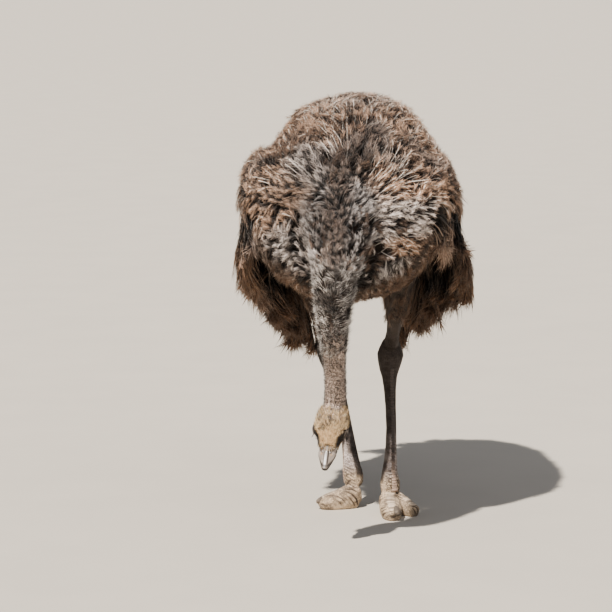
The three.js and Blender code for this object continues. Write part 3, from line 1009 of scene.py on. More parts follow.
    @staticmethod
    def off_line(x: Array, z: Array, start: Pair, end: Pair) -> Array:
        """The distance of places from a line, seen from the front."""
        run = np.subtract(end, start)
        share = np.clip(((x - start[0]) * run[0] + (z - start[1]) * run[1]) / (run @ run), 0, 1)
        return np.hypot(x - start[0] - share * run[0], z - start[1] - share * run[1])


# Skin


@dataclass(frozen=True)
class Core:
    """The flesh of a limb where it goes into the trunk: stations of a place and two half widths."""

    stations: tuple[tuple[float, float, float, float, float], ...]

    def shell(self) -> BMesh:
        """The limb's end as a closed tube."""
        bm = bmesh.new()
        places = along_points([Vector(station[:3]) for station in self.stations], Vector((1.0, 0.0, 0.0)))
        loft(bm, [(place, *station[3:]) for place, station in zip(places, self.stations)], 20)
        return bm


NECK_CORE = Core((
    (-0.0215, -0.363, 0.975, 0.086, 0.086),
    (-0.0375, -0.483, 0.955, 0.078, 0.078),
    (-0.0490, -0.578, 0.915, 0.066, 0.066),
    (-0.0575, -0.634, 0.855, 0.057, 0.057),
    (-0.0615, -0.650, 0.800, 0.058, 0.058),
    (-0.0630, -0.655, 0.755, 0.057, 0.057),
    (-0.0660, -0.655, 0.700, 0.048, 0.048),
    (-0.0665, -0.645, 0.650, 0.040, 0.040),
))
THIGH_CORES = (
    Core((
        (0.1335, -0.15, 0.86, 0.055, 0.080),
        (0.1315, -0.15, 0.79, 0.054, 0.080),
        (0.1285, -0.12, 0.68, 0.036, 0.058),
    )),
    Core((
        (-0.1365, -0.09, 0.86, 0.055, 0.080),
        (-0.1345, -0.09, 0.79, 0.054, 0.080),
        (-0.118, -0.045, 0.68, 0.036, 0.058),
    )),
)


@dataclass
class Skin:
    """One skin for neck, head, trunk, wing roots, legs and toes, inside the solids by the coat's depth."""

    head: HeadPlace
    cell: float = 0.0027
    body_cell: float = 0.010
    coat_depth: float = 0.034
    wing_cut: float = 0.80  # below this a wing is plumes only
    tail_cut: float = 0.56  # behind this the tail is plumes only
    lid_opening: float = 0.54  # half the angle that the lids leave open
    kept_share: float = 0.20  # of the triangles, most of which the coat hides
    between_shanks: float = 0.05  # the line between the shanks, whose inner sides get painted shade
    socket_depth: float = 0.004  # of the skin where the lids are open
    fold_gap: float = 0.42  # the angle between the lids' opening and the crease round it
    fold_depth: float = 0.0013

    FLESH = ("neck_middle", "neck_upper", "head")
    LEG = ("drumstick", "shank", "toe_main", "toe_outer")

    def body(self) -> BMesh:
        """The trunk with the wings' and tail's fleshy parts, drawn in by the coat's depth."""
        bm = merged_copy("trunk")
        low = (Vector((0, 0, self.wing_cut)), -UP)
        behind = (Vector((0, self.tail_cut, 0)), Vector((0, 1, 0)))
        for node, (point, away) in (("wing_left", low), ("wing_right", low), ("tail", behind)):
            part = merged_copy(node)
            everything = [*part.verts, *part.edges, *part.faces]
            bmesh.ops.bisect_plane(part, geom=everything, plane_co=point, plane_no=away, clear_outer=True)
            bmesh.ops.holes_fill(part, edges=part.edges, sides=0)
            add_shell(bm, part)
        piece = link_piece("body", bm)
        remesh(piece, self.body_cell, rounds=6)
        move_points(piece.data, points_of(piece.data) - normals_of(piece.data) * self.coat_depth)
        body = bmesh.new()
        body.from_mesh(piece.data)
        bpy.data.meshes.remove(piece.data)
        return body

    def whole(self) -> Object:
        """All flesh as one closed surface."""
        bm = self.body()
        legs = [f"{part}_{side}" for part in self.LEG for side in SIDES]
        cores = [core.shell() for core in (NECK_CORE, *THIGH_CORES)]
        for shell in (merged_copy(*self.FLESH, *legs), *cores):
            add_shell(bm, shell)
        for eye in self.head.eyes.values():
            radius = 1.03 * (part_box("eye_left")[1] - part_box("eye_left")[0]).x / 2
            place = Matrix.Translation(eye)
            bmesh.ops.create_uvsphere(bm, u_segments=24, v_segments=16, radius=radius, matrix=place)
        piece = link_piece("skin", bm)
        remesh(piece, self.cell, rounds=7)
        return piece

    def depth(self, points: Array) -> Array:
        """How deep the skin of the neck lies below the solids' outside."""
        _, y, z = points.T
        heights = [0.36, 0.42, 0.55, 0.68, 0.755, 0.80, 0.86]
        depths = [0.0012, 0.0015, 0.003, 0.006, 0.012, 0.009, 0.0]
        return np.interp(z, heights, depths) * ramp(-0.40, -0.50, y)

    def folds(self, points: Array) -> Array:
        """How much the skin rises or sinks: rings on the neck and creases over the toes' joints."""
        x, y, z = points.T
        neck = ramp(-0.42, -0.5, y) * ramp(0.38, 0.42, z)
        wave = np.sin(2 * np.pi * (z + 0.0035 * np.sin(90 * x) + 0.003 * np.sin(55 * y)) / 0.0125)
        ringed = -0.0004 * neck * np.clip(wave, -0.2, 1) * np.clip(0.6 + np.sin(41 * x + 23 * z), 0, 1)
        low = ramp(0.16, 0.09, z) * ramp(0.004, 0.014, z) * (y > -0.4)
        toe = np.sin(2 * np.pi * (0.8 * y + 0.6 * z + 0.3 * x + 0.005 * np.sin(70 * x + 50 * z)) / 0.011)
        broken = np.clip(1.4 * np.sin(85 * x + 40 * z) * np.sin(75 * y + 20) + 0.3, 0, 1)
        return ringed - 0.0015 * low * np.clip(toe, -0.1, 1) * broken

    def knobs(self, points: Array) -> Array:
        """How much the skin of the feet swells between its creases."""
        x, y, z = points.T
        low = ramp(0.16, 0.09, z) * ramp(0.004, 0.014, z) * (y > -0.4)
        return 0.0012 * low * np.sin(210 * x + 40 * y) * np.sin(190 * y + 60 * z) * np.cos(200 * z)

    def build(self, effects: Effects) -> Object:
        """Makes, sculpts and dresses the skin.

        Args:
            effects: the shared shader groups.

        Returns:
            The finished piece.
        """
        piece = self.whole()
        points = points_of(piece.data)
        normals = normals_of(piece.data)
        angles = self.head.eye_angles(points)
        shift = self.folds(points) + self.knobs(points) - self.depth(points)
        shift -= self.socket_depth * ramp(self.lid_opening + 0.10, self.lid_opening - 0.05, angles)
        ring = np.abs(angles - self.lid_opening - self.fold_gap)
        shift -= self.fold_depth * ramp(0.09, 0.0, ring)
        points = points + normals * shift[:, None]
        points[:, 2] = np.maximum(points[:, 2], 0.0)
        move_points(piece.data, points)
        self.thin(piece, points)
        self.mark(piece.data)
        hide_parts("trunk", "tail", "wing_left", "wing_right", "neck_lower", *self.FLESH)
        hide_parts(*[f"{part}_{side}" for part in self.LEG for side in SIDES])
        return finish_piece(piece, SKIN.material(effects))

    def thin(self, piece: Object, points: Array) -> None:
        """Leaves larger triangles where the coat hides the skin.

        Args:
            piece: the skin.
            points: its points.
        """
        hidden = self.covered(points)
        group = piece.vertex_groups.new(name="hidden")
        for level in (0.5, 1.0):
            chosen = np.flatnonzero((hidden > level - 0.4) & (hidden <= level + 0.1))
            group.add(chosen.tolist(), level, "REPLACE")
        reduce = piece.modifiers.new("thin", "DECIMATE")
        reduce.ratio = self.kept_share
        reduce.vertex_group = group.name
        settle(piece)

    @staticmethod
    def covered(points: Array) -> Array:
        """How well the coat hides each point."""
        _, y, z = points.T
        behind = ramp(-0.55, -0.45, y)
        return ramp(0.60, 0.66, z) * behind + ramp(0.58, 0.66, z) * (1.0 - behind)

    def mark(self, mesh: Mesh) -> None:
        """Stores where the skin is leg, foot or face; where it is covered or creased, both painted shade;
        and where it is dark, partly its colour and partly painted shade.
        """
        points = points_of(mesh)
        x, y, z = points.T
        behind = ramp(-0.40, -0.36, y)
        leg = ramp(0.62, 0.52, z) * behind
        foot = ramp(0.14, 0.09, z) * behind
        _, lift, ahead = (self.head.local(points) * 1000.0).T
        in_head = ramp(0.385, 0.345, z) * ramp(-0.40, -0.44, y)
        # Painted shade along the mouth's line, in the ear's opening and in the creases of ankles, toes and
        # neck.
        line = ramp(2.6, 1.0, np.abs(lift + 17.0)) * ramp(16.0, 22.0, ahead) * in_head
        ear = ramp(9.0, 5.0, np.hypot(lift + 4.0, ahead + 34.0)) * in_head
        wave = np.sin(2 * np.pi * (z + 0.25 * x + 0.003 * np.sin(130 * x + 60 * y)) / 0.0095)
        ankle = np.clip(1.6 * wave, 0, 1) * ramp(0.045, 0.06, z) * ramp(0.17, 0.12, z) * behind
        ankle *= np.clip(1.5 * np.sin(95 * x + 30 * z) * np.sin(60 * y + 1.0) + 0.5, 0, 1)
        crease_shade = np.max([line, ear, 0.8 * ankle, np.clip(-self.folds(points) / 0.0009, 0, 1)], 0)
        # Darker upper shanks: partly dark skin, partly painted shade where her body's shadow falls.
        upper = ramp(0.16, 0.25, z + 0.02 * np.sin(60 * x) * np.sin(45 * z)) * behind
        reach = 0.039 + 0.021 * ramp(0.09, 0.20, z)
        # Painted shade down the inner sides of the shanks, where the neck's shadow falls.
        inner_shade = ramp(reach + 0.004, reach - 0.004, np.abs(x - self.between_shanks))
        inner_shade *= ramp(0.085, 0.105, z) * behind
        dark = np.max([self.head.shade(points), 0.93 * upper, 0.85 * inner_shade], 0)
        paint(mesh, "bare", np.stack([leg, foot, in_head], 1))
        # Painted shade under the coat and in the creases; the dark share is partly skin colour, partly
        # painted shade.
        paint(mesh, "wear_and_painted_shade", np.stack([np.clip(self.covered(points), 0, 1), dark, crease_shade], 1))


# Coat


class Kind(Enum):
    """The ways in which barbs grow."""

    VANE = "from both sides of a shaft"
    SPRAY = "from one root"


@dataclass(frozen=True)
class Pattern:
    """One feather, lock or bristle of length 1: X runs along it, Y across it and Z out of the coat."""

    kind: Kind
    barbs: int  # on each side of a shaft, or in a spray
    half_width: float
    thick: float  # the half thickness of a barb at its root
    slant: float  # the angle between a barb and the shaft
    curl: float
    web: float = 0.015  # the half width of the closed web beside the shaft

    def outline(self, along: float) -> float:
        """How far from the shaft the barbs' tips reach, beside a place on the shaft."""
        return self.half_width * math.sin(math.pi * min(1.0, max(0.0, along)) ** 0.75) ** 0.55

    @staticmethod
    def strand(bm: BMesh, root: Vector, tip: Vector, thick: float) -> None:
        """Adds one tapered barb.

        Args:
            bm: the mesh that the barb is added to.
            root: where it starts.
            tip: where it ends.
            thick: its half width at the root.
        """
        way = tip - root
        turn = way.to_track_quat("Z", "Y").to_matrix().to_4x4()
        place = Matrix.Translation((root + tip) / 2) @ turn @ Matrix.Diagonal((1.0, 0.45, 1.0, 1.0))
        bmesh.ops.create_cone(
            bm, cap_ends=True, segments=3, radius1=thick, radius2=0.0, depth=way.length, matrix=place
        )

    def plate(self, bm: BMesh) -> None:
        """Adds the shaft with its closed web, a thin lens."""
        shares = (0.0, 0.3, 0.65, 0.93)
        widths = (0.25, 1.0, 0.85, 0.1)
        places = along_points([Vector((share, 0.0, 0.004)) for share in shares], Vector((0.0, 1.0, 0.0)))
        rows = zip(places, widths, shares)
        loft(bm, [(place, self.web * width, 0.009 * (1.1 - share)) for place, width, share in rows], 4)

    def build(self, rng: Generator) -> Shape:
        """Makes one of the many slightly different patterns of its kind.

        Args:
            rng: what the differences come from.

        Returns:
            The pattern's points and its faces.
        """
        bm = bmesh.new()
        if self.kind is Kind.SPRAY:
            self.spray(bm, rng)
        else:
            self.plate(bm)
            self.vanes(bm, rng)
        bmesh.ops.recalc_face_normals(bm, faces=bm.faces)
        bm.verts.ensure_lookup_table()
        points = np.array([vert.co for vert in bm.verts], float)
        faces = [tuple(vert.index for vert in face.verts) for face in bm.faces]
        bm.free()
        return points, faces

    def spray(self, bm: BMesh, rng: Generator) -> None:
        """Adds barbs that fan out from one root."""
        for i in range(self.barbs):
            turn = self.slant * ((i + 0.5) / self.barbs * 2 - 1) + rng.normal(0, 0.12)
            reach = rng.uniform(0.65, 1.0)
            tip = Vector((reach * math.cos(turn), reach * math.sin(turn), rng.normal(0, self.curl)))
            self.strand(bm, Vector((rng.uniform(0, 0.1), rng.normal(0, 0.02), 0)), tip, self.thick)

    def vanes(self, bm: BMesh, rng: Generator) -> None:
        """Adds the loose barbs on both sides of the shaft and over its tip."""
        for side in (-1, 1):
            for i in range(self.barbs):
                along = 0.14 + 0.80 * (i + rng.uniform(0, 0.8)) / self.barbs
                turn = max(0.12, self.slant * (1.0 - 0.55 * along) + rng.normal(0, 0.08))
                wide = max(0.3 * self.half_width, self.outline(along + 0.1) * rng.uniform(0.7, 1.12))
                ahead = min(wide / math.tan(turn), 1.08 - along + rng.uniform(-0.06, 0.06))
                lift = -0.22 * wide * wide / self.half_width + self.curl * rng.normal(0.1, 1)
                root = Vector((along, side * 0.4 * self.web, 0.003))
                tip = Vector((along + max(0.03, ahead), side * wide, lift))
                self.strand(bm, root, tip, self.thick * rng.uniform(0.75, 1.2))


FEATHER = Pattern(Kind.VANE, barbs=10, half_width=0.29, thick=0.019, slant=0.85, curl=0.07, web=0.10)
LOOSE = Pattern(Kind.VANE, barbs=8, half_width=0.20, thick=0.0125, slant=0.50, curl=0.05)
PLUME = Pattern(Kind.VANE, barbs=9, half_width=0.10, thick=0.0085, slant=0.26, curl=0.03, web=0.014)
TUFT = Pattern(Kind.SPRAY, barbs=7, half_width=0.45, thick=0.040, slant=0.75, curl=0.16)
BRISTLE = Pattern(Kind.SPRAY, barbs=4, half_width=0.3, thick=0.024, slant=0.20, curl=0.05)


@dataclass
class Coat:
    """One kind of covering over one part of her, which becomes one or more pieces."""

    pattern: Pattern
    finish: PlumageFinish
    slot: str
    spacing: float
    length: Pair
    depth: float  # of the roots, below the outside
    lift: Pair  # of the tips, above the outside
    stray: float  # how far a lock turns out of the lie, in radians
    roll: float = 0.4  # how far a feather rolls about its shaft
    hang: float = 0.012  # how far a tip may reach past an end of the surface
    in_lock: int = 7  # the feathers that lie together in a lock
    speckle: float = 0.06  # the share of dark ones
    seed: int = 1


BODY_COAT = Coat(
    LOOSE, BODY_PLUMAGE, "body_plumage", 0.0120, (0.055, 0.105), 0.022, (-0.010, 0.010),
    stray=0.36, speckle=0.14, seed=11
)
CHEST_COAT = Coat(
    FEATHER, BODY_PLUMAGE, "body_plumage", 0.0108, (0.034, 0.058), 0.014, (-0.006, 0.014),
    stray=0.42, speckle=0.10, seed=12
)
NECK_COAT = Coat(
    FEATHER, BODY_PLUMAGE, "body_plumage", 0.0085, (0.024, 0.040), 0.012, (0.000, 0.014),
    stray=0.50, speckle=0.24, seed=13
)
PLUME_COAT = Coat(
    PLUME, HANGING_PLUMAGE, "dark_plumage", 0.0135, (0.16, 0.28), 0.012, (-0.004, 0.009),
    stray=0.14, hang=0.04, seed=14
)
TAIL_COAT = replace(PLUME_COAT, length=(0.10, 0.15), lift=(0.0, 0.045), seed=31)
THIGH_COAT = Coat(
    LOOSE, HANGING_PLUMAGE, "body_plumage", 0.0105, (0.035, 0.060), 0.004, (0.002, 0.016),
    stray=0.35, seed=15
)
DOWN_COAT = Coat(
    TUFT, NECK_DOWN, "neck_down", 0.0060, (0.016, 0.032), 0.005, (0.002, 0.018),
    stray=0.60, roll=0.5, in_lock=6, speckle=0.26, seed=21
)
FUZZ_COAT = Coat(
    TUFT, NECK_DOWN, "neck_down", 0.0043, (0.005, 0.012), 0.0010, (0.001, 0.006),
    stray=0.7, roll=0.5, in_lock=2, speckle=0.5, seed=22
)
CROWN_COAT = Coat(
    BRISTLE, HEAD_BRISTLE, "head_bristle", 0.0024, (0.012, 0.020), 0.0, (0.004, 0.012),
    stray=0.14, roll=0.5, speckle=0.06, seed=23
)
BRISTLE_COAT = Coat(
    BRISTLE, HEAD_BRISTLE, "head_bristle", 0.0021, (0.008, 0.014), 0.0005, (0.0015, 0.0045),
    stray=0.10, roll=0.5, speckle=0.07, seed=24
)


@dataclass
class Lay:
    """Lays the patterns of a coat along a surface and joins them."""

    surface: Surface
    lie: Callable[[Vector], Vector]  # gives for a place which way the coat lies
    unwrap: Callable[[Array], Array]  # gives for roots their places on the unrolled skin
    markings: Markings
    effects: Effects
    materials: dict[str, Material] = field(default_factory=dict)
    STEPS = 7
    VARIANTS = 7
    PALER = 0.45  # the most of its darkness that a lock in a dark patch lacks
    STRAYS = 0.05  # the share of feathers that stand out
    STAND = 0.010  # how far they do
    SLACK = 0.004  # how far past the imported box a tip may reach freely
    SQUEEZE = 0.25  # what is left of anything further
    LEAVES = 0.62  # how squarely the lie has to leave the surface for a tip to go on alone
    STIFF = 0.8  # how much of its way such a tip keeps at each step
    SWAY = 0.20  # how far a feather bends aside, as a share of its length

    def spine(self, root: Vector, up: Vector, length: float, turn: float, hang: float) -> tuple[list, list]:
        """Follows the lie of the coat over the surface.

        Args:
            root: where the feather starts, on the surface.
            up: the surface's normal there.
            length: the feather's length.
            turn: how far it turns out of the lie.
            hang: how far it may reach past an end of the surface.

        Returns:
            The points that it passes and the normals there.
        """
        step = length / self.STEPS
        points, ups = [root], [up]
        way = None
        is_free = False
        spin = Matrix.Rotation(turn, 3, up)
        for k in range(self.STEPS):
            wished = self.lie(points[-1]).normalized()
            if is_free:
                way = (way * self.STIFF + wished * (1 - self.STIFF)).normalized()
                place = points[-1] + way * step
            else:
                along = spin @ (wished - up * wished.dot(up)).normalized()
                way = along if way is None else way * 0.5 + along * 0.5
                way = (way - up * way.dot(up)).normalized()
                place, normal = self.surface.nearest(points[-1] + way * step)
                if wished.dot(normal) > self.LEAVES:
                    is_free = True
                    step = min(step, hang * (0.5 + 2.0 * abs(turn)) / (self.STEPS - k))
                    place = points[-1] + way * step
                else:
                    up = (up * 0.45 + normal * 0.55).normalized()
            points.append(place)
            ups.append(up)
        return points, ups

    def build(self, coat: Coat, roots: Roots, parts: Array) -> list[Object]:
        """Makes the pieces of a coat.

        Args:
            coat: the kind of covering.
            roots: the places of the roots and the normals there.
            parts: for each root the name of its piece.

        Returns:
            The pieces.
        """
        rng = default_rng(coat.seed)
        patterns = [coat.pattern.build(rng) for _ in range(self.VARIANTS)]
        places, normals = roots
        count = len(places)
        lock = self.locks(places, coat.in_lock, rng)
        lengths = rng.uniform(*coat.length, count)
        turns = rng.normal(0, coat.stray, count)[lock] + rng.normal(0, 0.5 * coat.stray, count)
        lifts = 0.7 * rng.uniform(*coat.lift, count)[lock] + 0.3 * rng.uniform(*coat.lift, count)
        lifts += (rng.random(count) < self.STRAYS) * self.STAND * rng.uniform(0.5, 1.3, count)
        tones = 0.5 + rng.normal(0, 0.24, count)[lock] + rng.normal(0, 0.14, count)
        bend = rng.normal(0, 0.3, count)[lock] + rng.normal(0, 0.25, count)
        lines = np.empty((count, self.STEPS + 1, 3))
        ups = np.empty_like(lines)
        for i in range(count):
            root, up = Vector(places[i]), Vector(normals[i])
            lines[i], ups[i] = self.spine(root, up, lengths[i], turns[i], coat.hang)
        tones = np.clip(tones + self.markings.tone_and_painted_light(lines[:, -2]), 0, 1)
        marks = self.markings.at(lines[:, -2])
        marks[:, 1] *= 1.0 - self.PALER * rng.random(count)[lock] * (1.0 - marks[:, 0])
        marks[:, 1] = np.maximum(marks[:, 1], 0.9 * (rng.random(count)[lock] < coat.speckle))
        sunk = self.markings.sink(lines.reshape(-1, 3)).reshape(count, -1)
        share = np.linspace(0, 1, self.STEPS + 1)
        rise = -coat.depth * (1 - ramp(0.0, 0.6, share))[None] + lifts[:, None] * share[None] ** 2.5
        lines += ups * (rise - sunk)[..., None]
        across = unit(np.cross(ups, np.gradient(lines, axis=1)))
        lines += across * (bend[:, None] * self.SWAY * lengths[:, None] * share[None] ** 2)[..., None]
        laid = {
            "lines": lines,
            "ups": ups,
            "lengths": lengths,
            "rolls": rng.normal(0, coat.roll, count),
            "tones": tones,
            "marks": marks,
            "flats": self.unwrap(places),
        }
        kinds = rng.integers(0, self.VARIANTS, count)
        pieces = []
        for name in sorted(set(parts)):
            bent = []
            for number, pattern in enumerate(patterns):
                chosen = np.flatnonzero((parts == name) & (kinds == number))
                bent.append(self.bend(pattern, coat, {key: values[chosen] for key, values in laid.items()}))
            pieces.append(self.join(name, coat, bent))
        return pieces

    @staticmethod
    def locks(places: Array, in_lock: int, rng: Generator) -> Array:
        """For each root the number of the lock that it belongs to."""
        heads = rng.permutation(len(places))[: max(1, len(places) // in_lock)]
        tree = KDTree(len(heads))
        for i, head in enumerate(heads):
            tree.insert(places[head], i)
        tree.balance()
        return np.array([tree.find(place)[1] for place in places], int)

    def bend(self, pattern: Shape, coat: Coat, laid: dict[str, Array]) -> dict[str, Array]:
        """Bends one pattern along the lines of the feathers that use it.

        Args:
            pattern: its points and faces.
            coat: the kind of covering.
            laid: what is known of each feather.

        Returns:
            The points, the faces and what is painted on them.
        """
        shape, faces = pattern
        along, aside, out = shape.T
        spot = np.clip(along, 0, 1) * self.STEPS
        low = np.minimum(spot.astype(int), self.STEPS - 1)
        share = (spot - low)[None, :, None]
        line, up = laid["lines"], laid["ups"]
        ways = unit(np.gradient(line, axis=1))
        middle, way, normal = (
            rows[:, low] * (1 - share) + rows[:, low + 1] * share for rows in (line, ways, up)
        )
        way = unit(way)
        normal = unit(normal - way * (normal * way).sum(2, keepdims=True))
        side = np.cross(way, normal)
        turn = laid["rolls"][:, None, None]
        cos, sin = np.cos(turn), np.sin(turn)
        side, normal = side * cos + normal * sin, normal * cos - side * sin
        size = laid["lengths"][:, None, None]
        past = np.clip(along - 1, 0, 1)[None, :, None]
        places = middle + (way * past + side * aside[None, :, None] + normal * out[None, :, None]) * size
        low_end, high_end = np.array(CAD_BOX[0]) - self.SLACK, np.array(CAD_BOX[1]) + self.SLACK
        places = np.where(places > high_end, high_end + self.SQUEEZE * (places - high_end), places)
        places = np.where(places < low_end, low_end + self.SQUEEZE * (places - low_end), places)
        count, each = len(line), len(shape)
        across = aside / coat.pattern.half_width
        tones = np.repeat(laid["tones"], each)
        patch = np.stack([0.5 * across, along - 0.5], 1) * BAKE_PATCH
        corners = np.concatenate([np.array(face) for face in faces])
        return {
            "points": places.reshape(-1, 3),
            "lay": np.stack([np.tile(along, count), np.tile(across, count), tones], 1),
            "marking": np.repeat(laid["marks"], each, axis=0),
            "flat": (laid["flats"][:, None] + patch[None]).reshape(-1, 2),
            "corners": (corners[None] + (np.arange(count) * each)[:, None]).ravel(),
            "totals": np.tile([len(face) for face in faces], count),
        }

    def join(self, name: str, coat: Coat, bent: list[dict[str, Array]]) -> Object:
        """Makes one piece of the bent patterns.

        Args:
            name: the piece's name.
            coat: the kind of covering.
            bent: what bend gave for each pattern.

        Returns:
            The piece.
        """
        offsets = np.cumsum([0] + [len(part["points"]) for part in bent])
        corners = np.concatenate([part["corners"] + offset for part, offset in zip(bent, offsets)])
        keys = ("points", "lay", "marking", "flat", "totals")
        points, lay, marking, flat, totals = (np.concatenate([part[key] for part in bent]) for key in keys)
        mesh = bpy.data.meshes.new(name)
        mesh.vertices.add(len(points))
        mesh.loops.add(len(corners))
        mesh.polygons.add(len(totals))
        mesh.vertices.foreach_set("co", points.astype(np.float32).ravel())
        mesh.loops.foreach_set("vertex_index", corners.astype(np.int32))
        starts = np.concatenate([[0], np.cumsum(totals)[:-1]])
        mesh.polygons.foreach_set("loop_start", starts.astype(np.int32))
        mesh.update(calc_edges=True)
        paint(mesh, "lay", lay)
        paint(mesh, "marking", marking)
        layer = mesh.uv_layers.new(name=BAKE_MAP)
        layer.uv.foreach_set("vector", flat[corners].astype(np.float32).ravel())
        piece = new_object(name, mesh)
        if coat.finish.name not in self.materials:
            self.materials[coat.finish.name] = coat.finish.material(self.effects)
        return finish_piece(piece, self.materials[coat.finish.name])


def unwrapped(points: Array, middle: Callable[[Array], Array], lengthwise: int) -> Array:
    """Places on a skin that is unrolled about a lengthwise line.

    Args:
        points: the places on her.
        middle: gives the line's place beside each of them.
        lengthwise: the axis that the line mostly follows.

    Returns:
        For each place its two shares of the unrolled skin.
    """
    around = [axis for axis in range(3) if axis != lengthwise]
    off = points - middle(points)
    angle = np.arctan2(off[:, around[0]], off[:, around[1]]) / (2 * np.pi) + 0.5
    span = points[:, lengthwise]
    along = (span - span.min()) / max(1e-6, np.ptp(span))
    return np.stack([angle, along], 1) * (1 - 2 * BAKE_MARGIN) + BAKE_MARGIN


@dataclass
class Plumage:
    """The feathers of trunk, breast, neck root, wings, tail and thighs."""

    markings: Markings
    effects: Effects
    neck_top: Vector = field(default_factory=lambda: Vector((-0.070, -0.80, 0.95)))
    plume_top: float = 0.945  # the height below which the wings are plumes
    tail_start: float = 0.42
    wing_corner: float = 0.265  # past this the lower edge of her left wing rises
    wing_foot: float = 0.69
    seam: float = 0.022  # how far the coats of the others reach over the neck root
    NODES = ("trunk", "neck_lower", "wing_left", "wing_right", "tail")
    THIGHS = ("drumstick_left", "drumstick_right")

    def lie(self, place: Vector) -> Vector:
        """Which way a feather lies: up the neck, away from its root, then back and down her sides."""
        x, y, z = place
        off = place - self.neck_top
        reach = max(off.length, 1e-6)
        near = math.exp(-((reach / 0.46) ** 2))
        side = min(1.0, abs(x) / 0.30)
        low = min(1.0, max(0.0, (1.02 - z) / 0.35))
        out = math.copysign(1.0, x)
        back = Vector((0.10 * side * out, 0.9 - 0.62 * side * low, -0.12 - 1.1 * side * low))
        flow = off / reach * near * 1.3 + back * (1.0 - 0.8 * near)
        wing = blend(0.19, 0.26, abs(x)) * blend(1.0, 0.9, z) * blend(-0.42, -0.3, y)
        flow = flow.lerp(Vector((-0.32 * out * blend(0.8, 0.55, z), 0.22, -1.0)), wing)
        flow = flow.lerp(Vector((0.0, 0.55, -0.85)), blend(0.38, 0.50, y))
        aside = math.hypot(x + 0.062, 0.7 * (y + 0.62))
        neck = blend(0.15, 0.10, aside) * blend(0.98, 0.90, z) * blend(-0.44, -0.52, y)
        return flow.lerp(Vector((0.0, 0.35, 1.0)), neck)

    def owner(self, trees: list[BVHTree], places: Array, seam: float = 0.0) -> Array:
        """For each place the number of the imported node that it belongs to.

        Args:
            trees: the nodes' outsides, the second of them the neck root's.
            places: the places.
            seam: how far the others reach over the neck root.

        Returns:
            The numbers.
        """
        gaps = np.array([[tree.find_nearest(Vector(place))[3] for place in places] for tree in trees])
        gaps[1] += seam
        return np.argmin(gaps, axis=0)

    def is_end(self, places: Array, normals: Array) -> Array:
        """Whether the coat leaves the surface at once at each place, as at the tip of a wing."""
        ways = [self.lie(Vector(place)).normalized() for place in places]
        return np.array([way.dot(Vector(normal)) for way, normal in zip(ways, normals)]) > 0.5

    def lower_edge(self, places: Array) -> Array:
        """The least height of the plumes at each place, which rises at the corner of her left wing."""
        out = places[:, 0] - self.wing_corner
        return (self.wing_foot + 0.10 * np.clip(out / 0.07, 0, None) ** 2) * (out > 0)

    def build(self) -> None:
        """Covers trunk, breast, neck root, wings, tail and thighs."""
        surface = Surface(self.NODES, 0.011)
        trees = [node_tree(node) for node in self.NODES]
        lay = Lay(surface, self.lie, self.unroll, self.markings, self.effects)
        rng = default_rng(7)
        everywhere = lambda places: np.ones(len(places), bool)
        for coat in (CHEST_COAT, BODY_COAT):
            places, normals = surface.scatter(coat.spacing, everywhere, rng)
            owner = self.owner(trees, places, self.seam)
            hangs = (owner >= 2) & (places[:, 2] < self.plume_top)
            on_chest = (places[:, 1] < -0.28) & (places[:, 2] < 1.02)
            chosen = (owner != 1) & ~hangs & (on_chest == (coat is CHEST_COAT))
            roots = places[chosen], normals[chosen]
            lay.build(coat, roots, self.trunk_pieces(roots[0], coat is CHEST_COAT))
        places, normals = surface.scatter(PLUME_COAT.spacing, everywhere, rng)
        owner = self.owner(trees, places)
        hangs = (owner >= 2) & (places[:, 2] < self.plume_top) & ~self.is_end(places, normals)
        hangs &= places[:, 2] > self.lower_edge(places) + 0.03 * rng.random(len(places))
        on_tail = hangs & (places[:, 1] > self.tail_start)
        for coat, chosen in ((PLUME_COAT, hangs & ~on_tail), (TAIL_COAT, on_tail)):
            lay.build(coat, (places[chosen], normals[chosen]), self.plume_pieces(places[chosen]))
        near_neck = lambda places: (places[:, 1] < -0.33) & (np.abs(places[:, 0] + 0.05) < 0.15)
        places, normals = surface.scatter(NECK_COAT.spacing, near_neck, rng)
        mine = self.owner(trees, places) == 1
        lay.build(NECK_COAT, (places[mine], normals[mine]), np.full(mine.sum(), "feathers_neck_root"))
        thighs = Surface(self.THIGHS, 0.006)
        lay = Lay(thighs, lambda place: Vector((0.0, 0.1, -1.0)), self.unroll, self.markings, self.effects)
        high = lambda places: places[:, 2] > 0.60 + 0.05 * rng.random(len(places))
        roots = thighs.scatter(THIGH_COAT.spacing, high, rng)
        names = np.where(roots[0][:, 0] > 0, "feathers_thigh_left", "feathers_thigh_right")
        lay.build(THIGH_COAT, roots, names)

    @staticmethod
    def unroll(points: Array) -> Array:
        """The unwrapped places on the trunk."""
        return unwrapped(points, lambda places: np.tile([0.0, 0.0, 0.88], (len(places), 1)), 1)

    @staticmethod
    def trunk_pieces(places: Array, is_chest: bool) -> Array:
        """For each root on the trunk the name of its piece."""
        x, y, z = places.T
        if is_chest:
            return np.where(x > -0.05, "feathers_chest_left", "feathers_chest_right")
        names = np.where(x > 0, "feathers_flank_left", "feathers_flank_right")
        names = np.where(z < 0.74, "feathers_belly", names)
        names = np.where(z > 1.08, np.where(y < -0.1, "feathers_shoulder", "feathers_back"), names)
        return np.where(y > 0.36, "feathers_rump", names)

    def plume_pieces(self, places: Array) -> Array:
        """For each hanging plume the name of its piece."""
        x, y, _ = places.T
        names = np.where(x > 0, "plumes_wing_left", "plumes_wing_right")
        return np.where(y > self.tail_start, "plumes_tail", names)


